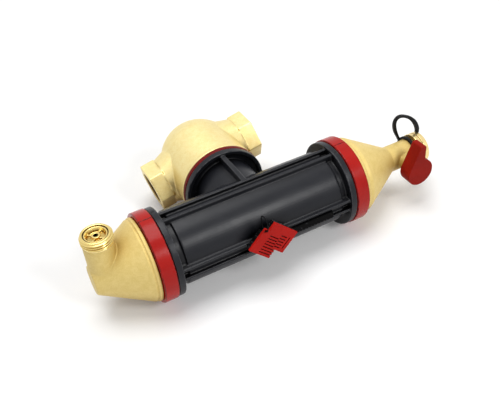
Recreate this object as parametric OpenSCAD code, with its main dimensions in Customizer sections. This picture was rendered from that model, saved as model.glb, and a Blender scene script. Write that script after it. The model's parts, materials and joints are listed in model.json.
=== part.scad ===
// Magnetic system filter: a T-shaped plastic body with an air-vent cap at one end, a drain
// valve at the other, a rotating brass connection head on the branch, and a pull-out magnet.
// It is drawn about its main axis (X), with the branch along +Y, and is then laid down so that
// it rests on its two clamp rings and on the dome of the connection head.

/* [Main body] */
// Outer radius of the main tube
body_r = 28; // [26:0.5:31]
// Wall of the main tube and of the branch tube
body_wall = 3.5; // [2.5:0.1:4]
// Distance between the outer faces of the two end flanges
span = 146.2; // [140:0.2:170]
// Axial width of each end flange
flange_w = 4.8; // [4.6:0.1:6]
// How far the end flanges stay inside the clamp rings, on the radius
flange_set = 0.6; // [0.2:0.1:1.5]
// Axial width of the groove between each flange and the middle of the tube
waist_w = 5.1; // [4:0.1:7]
// Depth of that groove
waist_depth = 1.5; // [0.8:0.1:1.6]
// Height of the rails over the tube
rail_rise = 3; // [2:0.1:4]
// Width of one rail
rail_w = 2.4; // [1.8:0.1:3.2]
// Width of the channel between the two rails of a pair
slot_w = 6; // [5:0.1:8]

/* [Branch] */
// Distance from the main axis to the outer face of the branch flange
branch_reach = 44.6; // [43.5:0.1:50]
// Radius of the branch flange
branch_flange_r = 33; // [31:0.1:33.2]
// Thickness of the web of the branch flange
branch_web = 2.2; // [2.1:0.1:3]
// Length of the rim that the branch flange turns back toward the body
branch_rim_len = 4.8; // [4:0.1:6]
// Thickness of that rim
branch_rim_wall = 3; // [2:0.1:4]
// Thickness of the ribs that run from the branch flange to the rails
rib_t = 4; // [3:0.1:5]

/* [Clamp rings] */
// Height of the clamped lips over the tube
lip_rise = 3; // [2.5:0.1:4]
// Axial width of a clamped lip
lip_w = 2.8; // [2:0.1:4]
// Axial width of the grooves beside the lips
groove_w = 2.8; // [2.2:0.1:4]
// Thickness of the ring outside the lips
ring_wall = 2.7; // [2:0.1:3.5]
// Width of the tab by which a ring half is pinned to the flange
tab_w = 8; // [6:0.5:10]
// Thickness of the tab
tab_t = 2.2; // [1.8:0.1:2.6]
// Length of the tab
tab_len = 4.1; // [4:0.1:4.3]
// Radius of a lock pin
lock_pin_r = 1.2; // [1:0.1:1.3]
// Angle of the lock pins from the ring's seam
lock_pin_angle = 10; // [9:1:20]

/* [Vent cap] */
// Wall of the brass castings
cast_wall = 3.5; // [2.5:0.1:4]
// Length of the spigot that enters the tube
spigot_len = 6; // [5.5:0.1:8]
// Radial thickness of the spigot
spigot_wall = 3; // [2.6:0.1:3.4]
// Width of the rim beside the clamp ring
rim_w = 2.6; // [2:0.1:4]
// Height of that rim over the clamped lip
rim_rise = 0.5; // [0.2:0.1:1.5]
// Length of the vent cone
vent_cone_len = 35.2; // [33:0.1:42]
// Radius of the vent cone at its small end
vent_end_r = 11; // [10:0.1:13]
// Length of the bevel on the small end
vent_end_bevel = 0.8; // [0.5:0.1:2]
// Distance from the small end of the cone back to the nozzle axis
nozzle_back = 10.1; // [10:0.1:11]
// Height of the nozzle's rim over the main axis
nozzle_top = 38.5; // [36:0.1:44]
// Outer radius of the nozzle thread (G 5/8)
nozzle_thread_r = 11.456; // [11:0.001:12]
// Length of the nozzle thread
nozzle_thread_len = 7.5; // [6:0.1:10]
// Radius of the nozzle tube below the thread
nozzle_r = 10.8; // [10.4:0.1:11]
// Radius of the nozzle bore
nozzle_bore_r = 8.8; // [8:0.1:9]
// Depth of the spoked insert
insert_depth = 5; // [4:0.1:7]
// Number of spokes in the insert
insert_spokes = 4; // [3:1:6]

/* [Vent valve] */
// Thickness of the wall between float chamber and nozzle
bulkhead = 2.4; // [2.2:0.1:3]
// Height of the vent orifice over the main axis
orifice_z = 6; // [5.5:0.1:7]
// Radius of the vent orifice
orifice_r = 0.9; // [0.6:0.1:1.1]
// Outer radius of the seat bush
seat_r = 3; // [2.6:0.1:3.2]
// Depth of the lever pin under the main axis
lever_drop = 9; // [8.5:0.1:10]
// Radius of the lever pin
lever_pin_r = 1.2; // [1:0.1:1.4]
// Width of the float lever
lever_w = 12; // [11:0.5:13]
// Thickness of the float lever
lever_t = 1.4; // [1.2:0.1:1.8]
// Radius of the float
float_r = 15; // [12:0.5:17]
// Length of the float
float_len = 20; // [16:0.5:21]
// Travel of the float
float_travel = 5; // [3:0.1:5]
// Travel of the vent needle
needle_travel = 2; // [1:0.1:2.2]
// Radius of the float guide rod
guide_r = 2; // [1.5:0.1:2.2]

/* [Drain cone] */
// Length of the straight part beside the rim
drain_straight = 3.5; // [3:0.1:9]
// Length of the drain cone
drain_cone_len = 33.5; // [28:0.1:38]
// Outer radius of the neck and valve body
neck_r = 10.5; // [10.2:0.1:11.5]
// Length of the neck and valve body
neck_len = 23; // [22.8:0.1:27]
// Bore of the drain
drain_bore_r = 5; // [4:0.1:5.2]

/* [Drain valve] */
// Radius of the ball
ball_r = 8.2; // [7.8:0.1:8.2]
// Distance from the end of the cone to the ball's centre
ball_set = 12.2; // [12:0.1:13]
// Radius of the stem
stem_r = 4; // [3.5:0.1:4.2]
// Radius of the stem boss
boss_r = 7; // [6.5:0.1:8]
// Distance from the main axis to the end of the stem boss
boss_reach = 16.8; // [15.5:0.1:19]
// Radius of the round end of the handle
handle_hub_r = 11.4; // [10:0.1:13]
// Thickness of the handle
handle_t = 11; // [9:0.1:13]
// Distance from the stem to the tip of the handle
handle_len = 24.4; // [20:0.1:26]
// Distance from the stem's axis to the straight side of the handle's arm
handle_side = 3.3; // [2.5:0.1:4]
// Width of the handle's tip
handle_tip_w = 5.3; // [4.5:0.1:7]
// Radius of the corners at the handle's tip
handle_tip_r = 1.5; // [1:0.1:2.5]

/* [Drain cap and strap] */
// Length of the outlet thread
outlet_len = 5.4; // [5:0.1:8]
// Radius of the outlet thread (G 1/2)
outlet_r = 10.478; // [10:0.001:11]
// Wall of the cap round the thread
cap_wall = 2.3; // [1.8:0.1:3]
// Thickness of the cap's end
cap_end = 1.6; // [1.5:0.1:3]
// Thickness of the washer in the cap
washer_t = 1.2; // [1:0.1:2]
// Width of the strap
strap_w = 3; // [2.4:0.1:3]
// Thickness of the strap
strap_t = 2; // [1.6:0.1:2.2]
// Height of the strap's loop over the main axis
strap_rise = 30; // [27:0.5:34]
// Distance behind the main axis at which the loop leaves the neck
strap_back = 11.3; // [10.8:0.1:11.4]

/* [Connection head] */
// Radius of the spigot that turns in the branch
head_spigot_r = 21.2; // [20:0.1:21.5]
// Length of the spigot
head_spigot_len = 18; // [16:0.1:19]
// Wall of the spigot
head_spigot_wall = 3.7; // [3:0.1:4.5]
// Radius of the lip that the lock ring holds
head_lip_r = 29.3; // [28.6:0.1:29.4]
// Thickness of that lip
head_lip_t = 1.4; // [1.2:0.1:1.8]
// Radius of the neck inside the lock ring
head_neck_r = 26.9; // [26:0.1:27.2]
// Thickness of the lock ring
lock_t = 3.2; // [3:0.1:4]
// Outer radius of the lock ring
lock_r = 33.2; // [32:0.1:33.3]
// Radius of the cup beside the lock ring
cup_r = 32; // [31:0.1:32.4]
// Radius of the dome
dome_r = 32.6; // [32:0.1:33]
// Distance from the main axis to the dome's centre
dome_y = 87; // [84:0.5:95]
// Distance from the main axis to the port axis
port_y = 84; // [82:0.5:92]
// Distance from the branch axis to the end of a port
port_reach = 47.3; // [46:0.1:56]
// Width across the flats of a port
port_af = 35.4; // [34:0.1:38]
// Length of the hexagon
port_hex_len = 12; // [10:0.1:14]
// Radius of the female port thread, at its crests (G 3/4)
port_thread_r = 12.059; // [11:0.001:13]
// Depth of the port thread
port_thread_len = 14; // [12:0.1:16]
// Turn of the head about the branch
head_turn = 11.8; // [-20:0.1:20]

/* [Flow tube and separator] */
// Outer radius of the flow tube
flow_tube_r = 10.8; // [9:0.1:11]
// Wall of the flow tube
flow_tube_wall = 1.5; // [1.2:0.1:2]
// Number of separator discs on each side of the branch
discs_per_side = 5; // [3:1:6]
// Thickness of a disc
disc_t = 1.6; // [1.2:0.1:2]
// Radius of the core rod
core_rod_r = 3; // [2.5:0.1:3.5]
// Distance from the outer face of a flange in to the end of the separator cage
cage_inset = 11.1; // [10.1:0.1:14]

/* [Magnet cartridge] */
// Left end of the magnet carrier
carrier_x0 = -16; // [-20:0.5:-12]
// Right end of the magnet carrier
carrier_x1 = 52; // [45:0.5:56]
// Height of the carrier, from the tube outward
carrier_h = 4.2; // [4:0.1:5]
// Number of magnet blocks
magnet_count = 5; // [3:1:6]
// Depth of the block behind the tag
tag_block_t = 4; // [3:0.1:5]
// Thickness of the red tag
tag_t = 1.8; // [1.5:0.1:2.5]

/* [Fits] */
// Clearance between pieces that move past each other
move_gap = 0.3; // [0.2:0.05:0.4]
// Clearance between pieces that are fixed to each other
fix_gap = 0.1; // [0.05:0.01:0.15]
// Radial clearance of running fits
run_gap = 0.08; // [0.03:0.01:0.1]
// Axial clearance on each side of a clamp ring
ring_side_gap = 0.4; // [0.2:0.1:0.6]
// Radius of the section of the large seals
seal_r = 1.1; // [0.9:0.05:1.2]

/* [Hidden] */
$fn = 72;

// Colours
black_plastic = [0.16, 0.17, 0.19];
soft_black = [0.07, 0.07, 0.08];
red_plastic = [0.72, 0.1, 0.1];
dark_red = [0.42, 0.06, 0.05];
brass = [0.85, 0.72, 0.4];
steel = [0.7, 0.71, 0.73];
white_plastic = [0.9, 0.9, 0.88];
rubber = [0.1, 0.1, 0.1];

// Main body
cut = 1;
join = 0.01;
bore_r = body_r - body_wall;
lip_r = body_r + lip_rise;
ring_r = lip_r + move_gap + ring_wall;
flange_r = ring_r - flange_set;
flange_out = span / 2;
flange_in = flange_out - flange_w;
waist_in = flange_in - waist_w;
waist_r = body_r - waist_depth;
body_end = flange_out + groove_w + lip_w;
rail_r = body_r + rail_rise;
pair_angles = [90, 180, 270];

// Joint between the body and an end casting, measured from the middle of the body
cap_start = body_end + fix_gap;
cap_lip_end = cap_start + lip_w;
rim_start = cap_lip_end + groove_w;
rim_end = rim_start + rim_w;
rim_r = lip_r + rim_rise;
spigot_r = bore_r - fix_gap;
spigot_in_r = spigot_r - spigot_wall;
seal_gap = 0.02;
seal_bed = 0.05;
seal_side = 0.1;
seal_mid_r = bore_r - seal_r - seal_gap;
seal_groove_r = seal_mid_r - seal_r - seal_bed;
seal_groove_w = 2 * (seal_r + seal_side);
seal_x = cap_start - spigot_len / 2;
ring_start = flange_out + ring_side_gap;
ring_end = rim_start - ring_side_gap;
ring_mid_start = flange_out + groove_w - move_gap;
ring_mid_end = cap_lip_end + move_gap;
ring_in_r = body_r + move_gap;
seam_gap = 0.25;

// Tabs and pins of the clamp rings
tab_cover = 2.2;
tab_root = 1.5;
tab_top = flange_r - tab_cover;
tab_end = ring_start - tab_len;
pin_x = (tab_end + flange_out) / 2;
pin_sunk = 0.3;
pin_root = 1;
pin_top = flange_r - pin_sunk;
pin_bottom = body_r + pin_root;

// Vent cap
rim_step = 1.2;
cone_fall = 0.5;
vent_r = rim_r - cone_fall;
vent_cone_start = rim_end + rim_step;
vent_cone_end = vent_cone_start + vent_cone_len;
vent_slope = (vent_r - vent_end_r) / vent_cone_len;
vent_skew = cast_wall * sqrt(1 + vent_slope * vent_slope);
nozzle_x = vent_cone_end - nozzle_back;
float_chamber_end = nozzle_x - nozzle_bore_r - bulkhead;
nozzle_floor = -4;
vent_tip = vent_cone_end + vent_end_bevel;
vent_reach = max(vent_tip, nozzle_x + nozzle_thread_r);

// Vent valve, measured along the vent side of the main axis
seat_flange_t = 1.2;
seat_flange_r = orifice_z - guide_r - move_gap;
seat_back = float_chamber_end + bulkhead;
seat_front = float_chamber_end - seat_flange_t;
needle_r = 1.3;
needle_tip_r = 0.6;
needle_tip_len = 1;
needle_tip = seat_front - move_gap;
needle_shows = 0.4;
lever_near = needle_tip - needle_tip_len - needle_shows;
lever_far = lever_near - lever_t;
lever_x = (lever_near + lever_far) / 2;
knuckle_wall = 1.1;
lever_knuckle_r = lever_pin_r + run_gap + knuckle_wall;
lever_over = 3.4;
lever_top = orifice_z + lever_over;
lever_play = 0.8;
lever_hole_r = needle_r + lever_play;
window_play = 1.7;
guide_window_r = guide_r + window_play;
needle_head_rim = 1.5;
needle_head_r = needle_r + needle_head_rim;
needle_head_t = 1.2;
needle_head_play = 1.2;
needle_head_x = lever_far - needle_head_play;
ear_t = 2.5;
ear_side = 0.6;
ear_back = 1.6;
ear_root = 0.5;
ear_y = lever_w / 2 + move_gap;
float_rest = 0.6;
float_top = needle_head_x - needle_head_t - needle_travel - float_rest;
float_bottom = float_top - float_len;
guide_stop = float_bottom - float_travel - move_gap;
guide_stop_t = 2;
guide_stop_rim = 2;
guide_stop_r = guide_r + guide_stop_rim;
guide_end = float_chamber_end + 0.7 * bulkhead;

// Drain cone
drain_cone_start = rim_end + drain_straight;
drain_cone_end = drain_cone_start + drain_cone_len;
drain_fall = 1;
drain_r = rim_r - drain_fall;
drain_slope = (drain_r - neck_r) / drain_cone_len;
drain_skew = cast_wall * sqrt(1 + drain_slope * drain_slope);
neck_end = drain_cone_end + neck_len;
ball_x = drain_cone_end + ball_set;
ball_room_gap = 0.5;
ball_room_r = ball_r + ball_room_gap;
seat_in_r = 0.756 * ball_r;
seat_off = 0.72 * ball_r;
seat_len = 2.4;
ball_room_start = ball_x - seat_off - seat_len - fix_gap;
tail_plug_start = ball_x + seat_off + seat_len + fix_gap;
stem_lift = 0.15;
stem_bottom = ball_r + stem_lift;
boss_root = 0.6;
tang_depth = 2.1;
tang_t = 2.8;
tang_w = 6;
tang_root = 0.5;
stem_hole_r = stem_r + run_gap;
stem_seal_r = 0.6;
stem_seal_mid_r = stem_hole_r - stem_seal_r - seal_bed;
stem_seal_depth = 3;
stem_seal_y = boss_reach - stem_seal_depth;
handle_back = boss_reach + move_gap;
handle_front = handle_back + handle_t;
handle_floor = 2.5;
stem_end_gap = 0.5;
stem_end = handle_front - handle_floor - stem_end_gap;
set_screw_r = 2;
set_screw_sunk = 0.6;
set_screw_bite = 1;
set_screw_key = 1.5;
set_screw_y = handle_back + handle_t / 2;

// Drain cap and strap
tail_flange_w = 1.8;
outlet_start = neck_end + fix_gap + tail_flange_w;
outlet_end = outlet_start + outlet_len;
thread_play = 0.2;
cap_foot_gap = 0.4;
cap_in_r = outlet_r + thread_play;
cap_r = cap_in_r + cap_wall;
cap_start_x = outlet_start + cap_foot_gap;
washer_x0 = outlet_end + fix_gap;
washer_x1 = washer_x0 + washer_t;
cap_bottom = washer_x1 + fix_gap;
cap_face = cap_bottom + cap_end;
cap_collar_w = 3.2;
cap_groove_x = cap_start_x + cap_collar_w;
cap_groove_w = 0.8;
cap_groove_depth = 0.6;
stud_r = 2.2;
stud_head_r = 3.6;
stud_head_t = 1.2;
stud_end = cap_face + 2 * move_gap + strap_t;
cap_tip = stud_end + stud_head_t;
strap_edge = 0.2;
strap_neck_in = neck_r + move_gap;
strap_neck_x = neck_end - strap_edge - strap_w / 2;
strap_bite = 0.2;
strap_neck_z = sqrt(pow(strap_neck_in + strap_bite, 2) - pow(strap_back - strap_w / 2, 2));
strap_eye_in = stud_r + move_gap;
strap_eye_r = strap_eye_in + strap_t;
strap_cap_x = cap_face + move_gap + strap_t / 2;
strap_tab_len = 12.2;
strap_tab_turn = 31.6;
strap_cap_y = strap_tab_len * sin(strap_tab_turn);
strap_cap_z = strap_tab_len * cos(strap_tab_turn);
strap_steps = 28;
strap_swing = 20.8;
strap_neck_pull = 1.49;
strap_cap_pull = 0.97;

// Branch and connection head
branch_bore_r = head_spigot_r + run_gap;
branch_r = branch_bore_r + body_wall;
branch_web_in = branch_reach - branch_web;
branch_rim_in = branch_reach - branch_rim_len;
rib_start = (slot_w + rail_w) / 2;
recess_r = head_lip_r + move_gap;
recess_depth = head_lip_t + 2 * move_gap;
head_lip_y0 = branch_reach + move_gap;
head_lip_y1 = head_lip_y0 + head_lip_t;
lock_out = branch_reach + lock_t;
lock_play = 0.4;
lock_hole_r = head_neck_r + lock_play;
lock_skirt_set = 0.9;
lock_skirt_t = 1.2;
lock_skirt_r0 = recess_r + lock_skirt_set;
lock_skirt_r1 = lock_skirt_r0 + lock_skirt_t;
lock_skirt_len = 1.8;
cup_start = lock_out + lock_play;
cup_lip_r = cup_r + 1;
cup_lip_t = 2.4;
cup_floor_t = 4;
cup_floor = cup_start + cup_floor_t;
head_bore_r = head_spigot_r - head_spigot_wall;
head_spigot_y0 = head_lip_y0 - head_spigot_len;
dome_in_r = dome_r - cast_wall;
cup_in_r = cup_r - cast_wall;
port_hex_r = port_af / sqrt(3);
port_step = 2.4;
port_way_r = port_thread_r - port_step;
port_cone_start = 16;
port_cone_r = 25.5;
port_cone_end_r = 0.93 * port_hex_r;
port_hex_in = port_reach - port_hex_len;
septum_rise = 10;
septum_y = cup_floor + septum_rise;
septum_t = 2.5;
septum_x = 13;
head_seal_r = 1;
head_seal_mid_r = branch_bore_r - head_seal_r - seal_bed;
head_seal_groove_r = head_seal_mid_r - head_seal_r - seal_gap;
head_seal_first = 3.5;
head_seal_pitch = 5;
head_seal_spots = [head_spigot_y0 + head_seal_first, head_spigot_y0 + head_seal_first + head_seal_pitch];

// Flow tube and separator
cage_half = flange_out - cage_inset;
flow_tube_y0 = 7;
flow_tube_over = 1.5;
flow_tube_y1 = septum_y + septum_t + flow_tube_over;
fin_t = 2;
fin_y0 = 20;
fin_y1 = head_spigot_y0 - 2 * move_gap;
fin_r = branch_bore_r - fix_gap;
disc_first = 18;
disc_end_gap = 7;
disc_last = cage_half - disc_end_gap;
disc_wall_gap = 5;
disc_r = bore_r - disc_wall_gap;
cage_ring_w = 3;
cage_ring_t = 3.6;
cage_out_r = bore_r - move_gap;
cage_in_r = cage_out_r - cage_ring_t;
cage_bar_r = 1.2;
cage_bar_at = (cage_out_r + cage_in_r) / 2;
cage_bars = [60, 120, 180, 240, 300];
cage_hub_wall = 3;
cage_hub_r = core_rod_r + cage_hub_wall;
cage_arm_t = 2.4;
cage_arm_root = 0.5;

// Magnet cartridge
carrier_w = slot_w - 2 * move_gap;
carrier_y0 = body_r + move_gap;
carrier_y1 = carrier_y0 + carrier_h;
carrier_wall = 1;
carrier_end = 2;
carrier_run = carrier_x1 - carrier_x0 - 2 * carrier_end;
magnet_w = carrier_w - 2 * carrier_wall;
magnet_h = carrier_h - 2 * carrier_wall;
magnet_pitch = carrier_run / magnet_count;
magnet_len = magnet_pitch - 2 * carrier_wall;
magnet_sunk = 0.2;
tooth_w = 1.2;
tooth_pitch = 2.6;
tooth_depth = 0.8;
tag_y0 = carrier_y1 + tag_block_t;
tag_y1 = tag_y0 + tag_t;
tag_skew = 45;
lobe_a = [[-18.9, -8.4], [1.8, 11.2]];
lobe_b = [[-14.7, -15.2], [10, 3.6]];
tag_block_in = 0.6;
tag_slot_w = 0.8;
tag_slot_depth = 0.9;
tag_slot_pitch = 2.3;
slots_a = [8, 2, 9];
rows_a = 7;
comb_rows = 3;
comb_len = lobe_a[1][0] - lobe_a[0][0] - slots_a[0] + cut;
slots_b = [13, 2.2, 6];
rows_b = 5;
slash_b = [21, 3, 10];
tag_eye = [-17.3, -6.8];
tag_eye_r = 1.2;
tag_relief_r = 2 * tag_eye_r;
tag_wire_r = 0.4;
tag_ring_w = 8.8;
tag_ring_len = 3.4;

// Pose in which the part lies on its rings and on whatever of the branch meets the floor first
function disc_tilt(r, y) = asin(ring_r / norm([y, r])) - atan2(r, y);
dome_tilt = asin((ring_r - dome_r) / dome_y);
lie_tilt = -min(dome_tilt, disc_tilt(cup_lip_r, cup_start + cup_lip_t), disc_tilt(lock_r, lock_out),
    disc_tilt(branch_flange_r, branch_reach));
tag_mid = (tag_y0 + tag_y1) / 2;
tag_eye_z = -(tag_eye[0] + tag_eye[1]) * sin(tag_skew);
tag_ring_front = tag_mid + tag_ring_w / 2;
box_y0 = -tag_ring_front * cos(lie_tilt) - (tag_eye_z + tag_ring_w / 2) * sin(lie_tilt) - tag_wire_r;
box_y1 = dome_y * cos(lie_tilt) + dome_r;
mid_x = (cap_tip - vent_reach) / 2;
mid_y = (box_y0 + box_y1) / 2;

// Placing helpers
module place() {
    translate([-mid_x, -mid_y, ring_r])
        rotate([lie_tilt, 0, 0])
            children();
}

// Local Z becomes +X
module along_x(x = 0) {
    translate([x, 0, 0])
        rotate([0, 90, 0])
            children();
}

// Local Z becomes +Y
module along_y(y = 0) {
    translate([0, y, 0])
        rotate([-90, 0, 0])
            children();
}

// Local Z becomes -Y
module toward_front(x = 0) {
    translate([x, 0, 0])
        rotate([90, 0, 0])
            children();
}

module at_vent() {
    mirror([1, 0, 0])
        children();
}

// The branch axis is local Z and the port axis is local X
module in_head() {
    along_y()
        rotate([0, 0, -head_turn])
            children();
}

// Local X and Y follow the tag's sides, local Z points out of its face
module in_tag() {
    toward_front()
        rotate([0, 0, -tag_skew])
            children();
}

// Local Z runs out along the radius at an angle from +Y toward +Z
module radial(angle) {
    rotate([angle - 90, 0, 0])
        children();
}

module ring_solid(r0, r1, z0, z1) {
    translate([0, 0, z0])
        difference() {
            cylinder(r = r1, h = z1 - z0);
            translate([0, 0, -cut])
                cylinder(r = r0, h = z1 - z0 + 2 * cut);
        }
}

module rod(r, z0, z1) {
    translate([0, 0, z0])
        cylinder(r = r, h = z1 - z0);
}

module o_ring(mid_r, r) {
    rotate_extrude()
        translate([mid_r, 0])
            circle(r = r, $fn = 24);
}

// Main body
module rail_pair(angle) {
    radial(angle)
        for (side = [-1, 1])
            translate([-flange_in - join, side * (slot_w + rail_w) / 2 - rail_w / 2, bore_r + cut])
                cube([2 * (flange_in + join), rail_w, rail_r - bore_r - cut]);
}

module end_flange() {
    along_x()
        union() {
            rod(flange_r, flange_in, flange_out);
            rod(body_r, flange_out - cut, body_end);
            rod(lip_r, body_end - lip_w, body_end);
        }
}

module tab_pocket(angle) {
    radial(angle)
        translate([tab_end - move_gap, -tab_w / 2 - fix_gap, tab_top - tab_t - fix_gap])
            cube([tab_len + 2 * cut, tab_w + 2 * fix_gap, tab_t + 2 * fix_gap]);
}

module pin_hole(angle) {
    radial(angle)
        translate([pin_x, 0, pin_bottom])
            cylinder(r = lock_pin_r + fix_gap / 2, h = flange_r - pin_bottom + cut);
}

module branch_outside() {
    along_y()
        union() {
            rod(branch_r, 0, branch_reach);
            rod(branch_flange_r, branch_web_in, branch_reach);
            ring_solid(branch_flange_r - branch_rim_wall, branch_flange_r, branch_rim_in,
                branch_web_in + join);
            for (turn = [0, 180])
                rotate([0, 0, turn])
                    translate([-rib_t / 2, branch_bore_r + cut, rib_start])
                        cube([rib_t, rail_r - branch_bore_r - cut, branch_web_in - rib_start + join]);
        }
}

module main_body() {
    color(black_plastic)
        place()
            difference() {
                union() {
                    along_x() {
                        rod(body_r, -waist_in, waist_in);
                        rod(waist_r, -flange_out, flange_out);
                    }
                    end_flange();
                    at_vent()
                        end_flange();
                    for (angle = pair_angles)
                        rail_pair(angle);
                    branch_outside();
                }
                along_x()
                    rod(bore_r, -body_end - cut, body_end + cut);
                along_y() {
                    rod(branch_bore_r, 0, branch_reach + cut);
                    ring_solid(lock_skirt_r0 - fix_gap, lock_skirt_r1 + fix_gap,
                        branch_reach - lock_skirt_len - fix_gap, branch_reach + cut);
                }
                for (turn = [0, 180]) {
                    tab_pocket(90 + lock_pin_angle + turn);
                    pin_hole(90 + lock_pin_angle + turn);
                    at_vent() {
                        tab_pocket(90 - lock_pin_angle + turn);
                        pin_hole(90 - lock_pin_angle + turn);
                    }
                }
            }
}

// Clamp rings
module clamp_ring_profile() {
    polygon([
        [ring_in_r, ring_start],
        [ring_r, ring_start],
        [ring_r, ring_end],
        [ring_in_r, ring_end],
        [ring_in_r, ring_mid_end],
        [lip_r + move_gap, ring_mid_end],
        [lip_r + move_gap, ring_mid_start],
        [ring_in_r, ring_mid_start]
    ]);
}

// One half of a ring on the drain side: side is +1 for the rear half, -1 for the front half
module clamp_half(side, tab_angle) {
    difference() {
        union() {
            intersection() {
                along_x()
                    rotate_extrude()
                        clamp_ring_profile();
                translate([ring_start - cut, side > 0 ? seam_gap / 2 : -ring_r - cut, -ring_r - cut])
                    cube([ring_end - ring_start + 2 * cut, ring_r + cut - seam_gap / 2,
                        2 * (ring_r + cut)]);
            }
            radial(tab_angle)
                translate([tab_end, -tab_w / 2, tab_top - tab_t])
                    cube([tab_len + tab_root, tab_w, tab_t]);
        }
        radial(tab_angle)
            translate([pin_x, 0, tab_top - tab_t - cut])
                cylinder(r = lock_pin_r + fix_gap / 2, h = tab_t + 2 * cut);
    }
}

module lock_pins(angles) {
    for (angle = angles)
        radial(angle)
            translate([pin_x, 0, pin_bottom + fix_gap])
                cylinder(r = lock_pin_r, h = pin_top - pin_bottom - fix_gap);
}

module vent_ring_front() {
    color(red_plastic)
        place()
            at_vent()
                clamp_half(-1, 270 - lock_pin_angle);
}

module vent_ring_rear() {
    color(red_plastic)
        place()
            at_vent()
                clamp_half(1, 90 - lock_pin_angle);
}

module vent_ring_pins() {
    color(steel)
        place()
            at_vent()
                lock_pins([90 - lock_pin_angle, 270 - lock_pin_angle]);
}

module drain_ring_front() {
    color(red_plastic)
        place()
            clamp_half(-1, 90 + lock_pin_angle);
}

module drain_ring_rear() {
    color(red_plastic)
        place()
            clamp_half(1, 270 + lock_pin_angle);
}

module drain_ring_pins() {
    color(steel)
        place()
            lock_pins([90 + lock_pin_angle, 270 + lock_pin_angle]);
}

// Outline of an end casting, from the spigot to the rim, as radius and distance
function joint_outline() = [
    [spigot_in_r, cap_start - spigot_len],
    [spigot_r, cap_start - spigot_len],
    [spigot_r, seal_x - seal_groove_w / 2],
    [seal_groove_r, seal_x - seal_groove_w / 2],
    [seal_groove_r, seal_x + seal_groove_w / 2],
    [spigot_r, seal_x + seal_groove_w / 2],
    [spigot_r, cap_start],
    [lip_r, cap_start],
    [lip_r, cap_lip_end],
    [body_r, cap_lip_end],
    [body_r, rim_start],
    [rim_r, rim_start],
    [rim_r, rim_end]
];

module casting_seal() {
    along_x(seal_x)
        o_ring(seal_mid_r, seal_r);
}

// Vent cap
module vent_cap() {
    vent_inner_r = vent_r - vent_skew;
    chamber_r = vent_inner_r - vent_slope * (float_chamber_end - vent_cone_start);
    color(brass)
        place()
            at_vent()
                union() {
                    difference() {
                        union() {
                            along_x()
                                rotate_extrude()
                                    polygon(concat(joint_outline(), [
                                        [rim_r - rim_step, rim_end],
                                        [rim_r - rim_step, vent_cone_start],
                                        [vent_r, vent_cone_start],
                                        [vent_end_r, vent_cone_end],
                                        [vent_end_r - vent_end_bevel, vent_tip],
                                        [0, vent_tip],
                                        [0, float_chamber_end],
                                        [chamber_r, float_chamber_end],
                                        [vent_inner_r, vent_cone_start],
                                        [spigot_in_r, cap_lip_end]
                                    ]));
                            translate([nozzle_x, 0, 0]) {
                                rod(nozzle_r, 0, nozzle_top - nozzle_thread_len + cut);
                                rod(nozzle_thread_r, nozzle_top - nozzle_thread_len, nozzle_top);
                            }
                        }
                        translate([nozzle_x, 0, 0])
                            rod(nozzle_bore_r, nozzle_floor, nozzle_top + cut);
                        translate([0, 0, orifice_z])
                            along_x()
                                rod(seat_r + fix_gap / 2, float_chamber_end - cut, nozzle_x);
                        along_x()
                            rod(guide_r + fix_gap / 2, float_chamber_end - cut, guide_end);
                    }
                    for (side = [-1, 1])
                        difference() {
                            translate([lever_far - ear_back, side * (ear_y + ear_t / 2) - ear_t / 2,
                                -lever_drop - lever_knuckle_r - ear_side])
                                cube([float_chamber_end - lever_far + ear_back + ear_root, ear_t,
                                    2 * (lever_knuckle_r + ear_side)]);
                            translate([lever_x, 0, -lever_drop])
                                along_y()
                                    rod(lever_pin_r + fix_gap / 2, -lever_w, lever_w);
                        }
                }
}

module vent_cap_seal() {
    color(rubber)
        place()
            at_vent()
                casting_seal();
}

module nozzle_insert() {
    insert_r = nozzle_bore_r - fix_gap;
    rim_t = 0.9;
    rim_top = insert_depth - 0.6;
    groove_w = 0.6;
    groove_depth = 1.8;
    bowl_r = 5.8;
    floor_t = 1.4;
    hole_r = 1.7;
    hub_r = 3;
    hub_top = 3.6;
    spoke_w = 1.4;
    spoke_top = 2.6;
    root = 0.4;
    color(brass)
        place()
            at_vent()
                translate([nozzle_x, 0, nozzle_top - insert_depth])
                    union() {
                        rotate_extrude()
                            polygon([
                                [hole_r, 0],
                                [insert_r, 0],
                                [insert_r, rim_top - groove_depth],
                                [insert_r - groove_w, rim_top - groove_depth],
                                [insert_r - groove_w, rim_top],
                                [insert_r - groove_w - rim_t, rim_top],
                                [bowl_r, floor_t],
                                [hub_r, floor_t],
                                [hub_r, hub_top],
                                [hole_r, hub_top]
                            ]);
                        for (k = [0:insert_spokes - 1])
                            rotate([0, 0, (k + 0.5) * 360 / insert_spokes])
                                translate([hub_r - root, -spoke_w / 2, floor_t - root])
                                    cube([bowl_r - hub_r + 3 * root, spoke_w, spoke_top - floor_t + root]);
                    }
}

module vent_seat() {
    color(brass)
        place()
            at_vent()
                translate([0, 0, orifice_z])
                    along_x()
                        difference() {
                            union() {
                                rod(seat_flange_r, seat_front, float_chamber_end);
                                rod(seat_r, seat_front, seat_back);
                            }
                            rod(orifice_r, seat_front - cut, seat_back + cut);
                        }
}

module vent_needle() {
    color(steel)
        place()
            at_vent()
                translate([0, 0, orifice_z])
                    along_x()
                        union() {
                            translate([0, 0, needle_tip - needle_tip_len])
                                cylinder(r1 = needle_r, r2 = needle_tip_r, h = needle_tip_len);
                            rod(needle_r, needle_head_x - needle_head_t, needle_tip - needle_tip_len);
                            rod(needle_head_r, needle_head_x - needle_head_t, needle_head_x);
                        }
}

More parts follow.
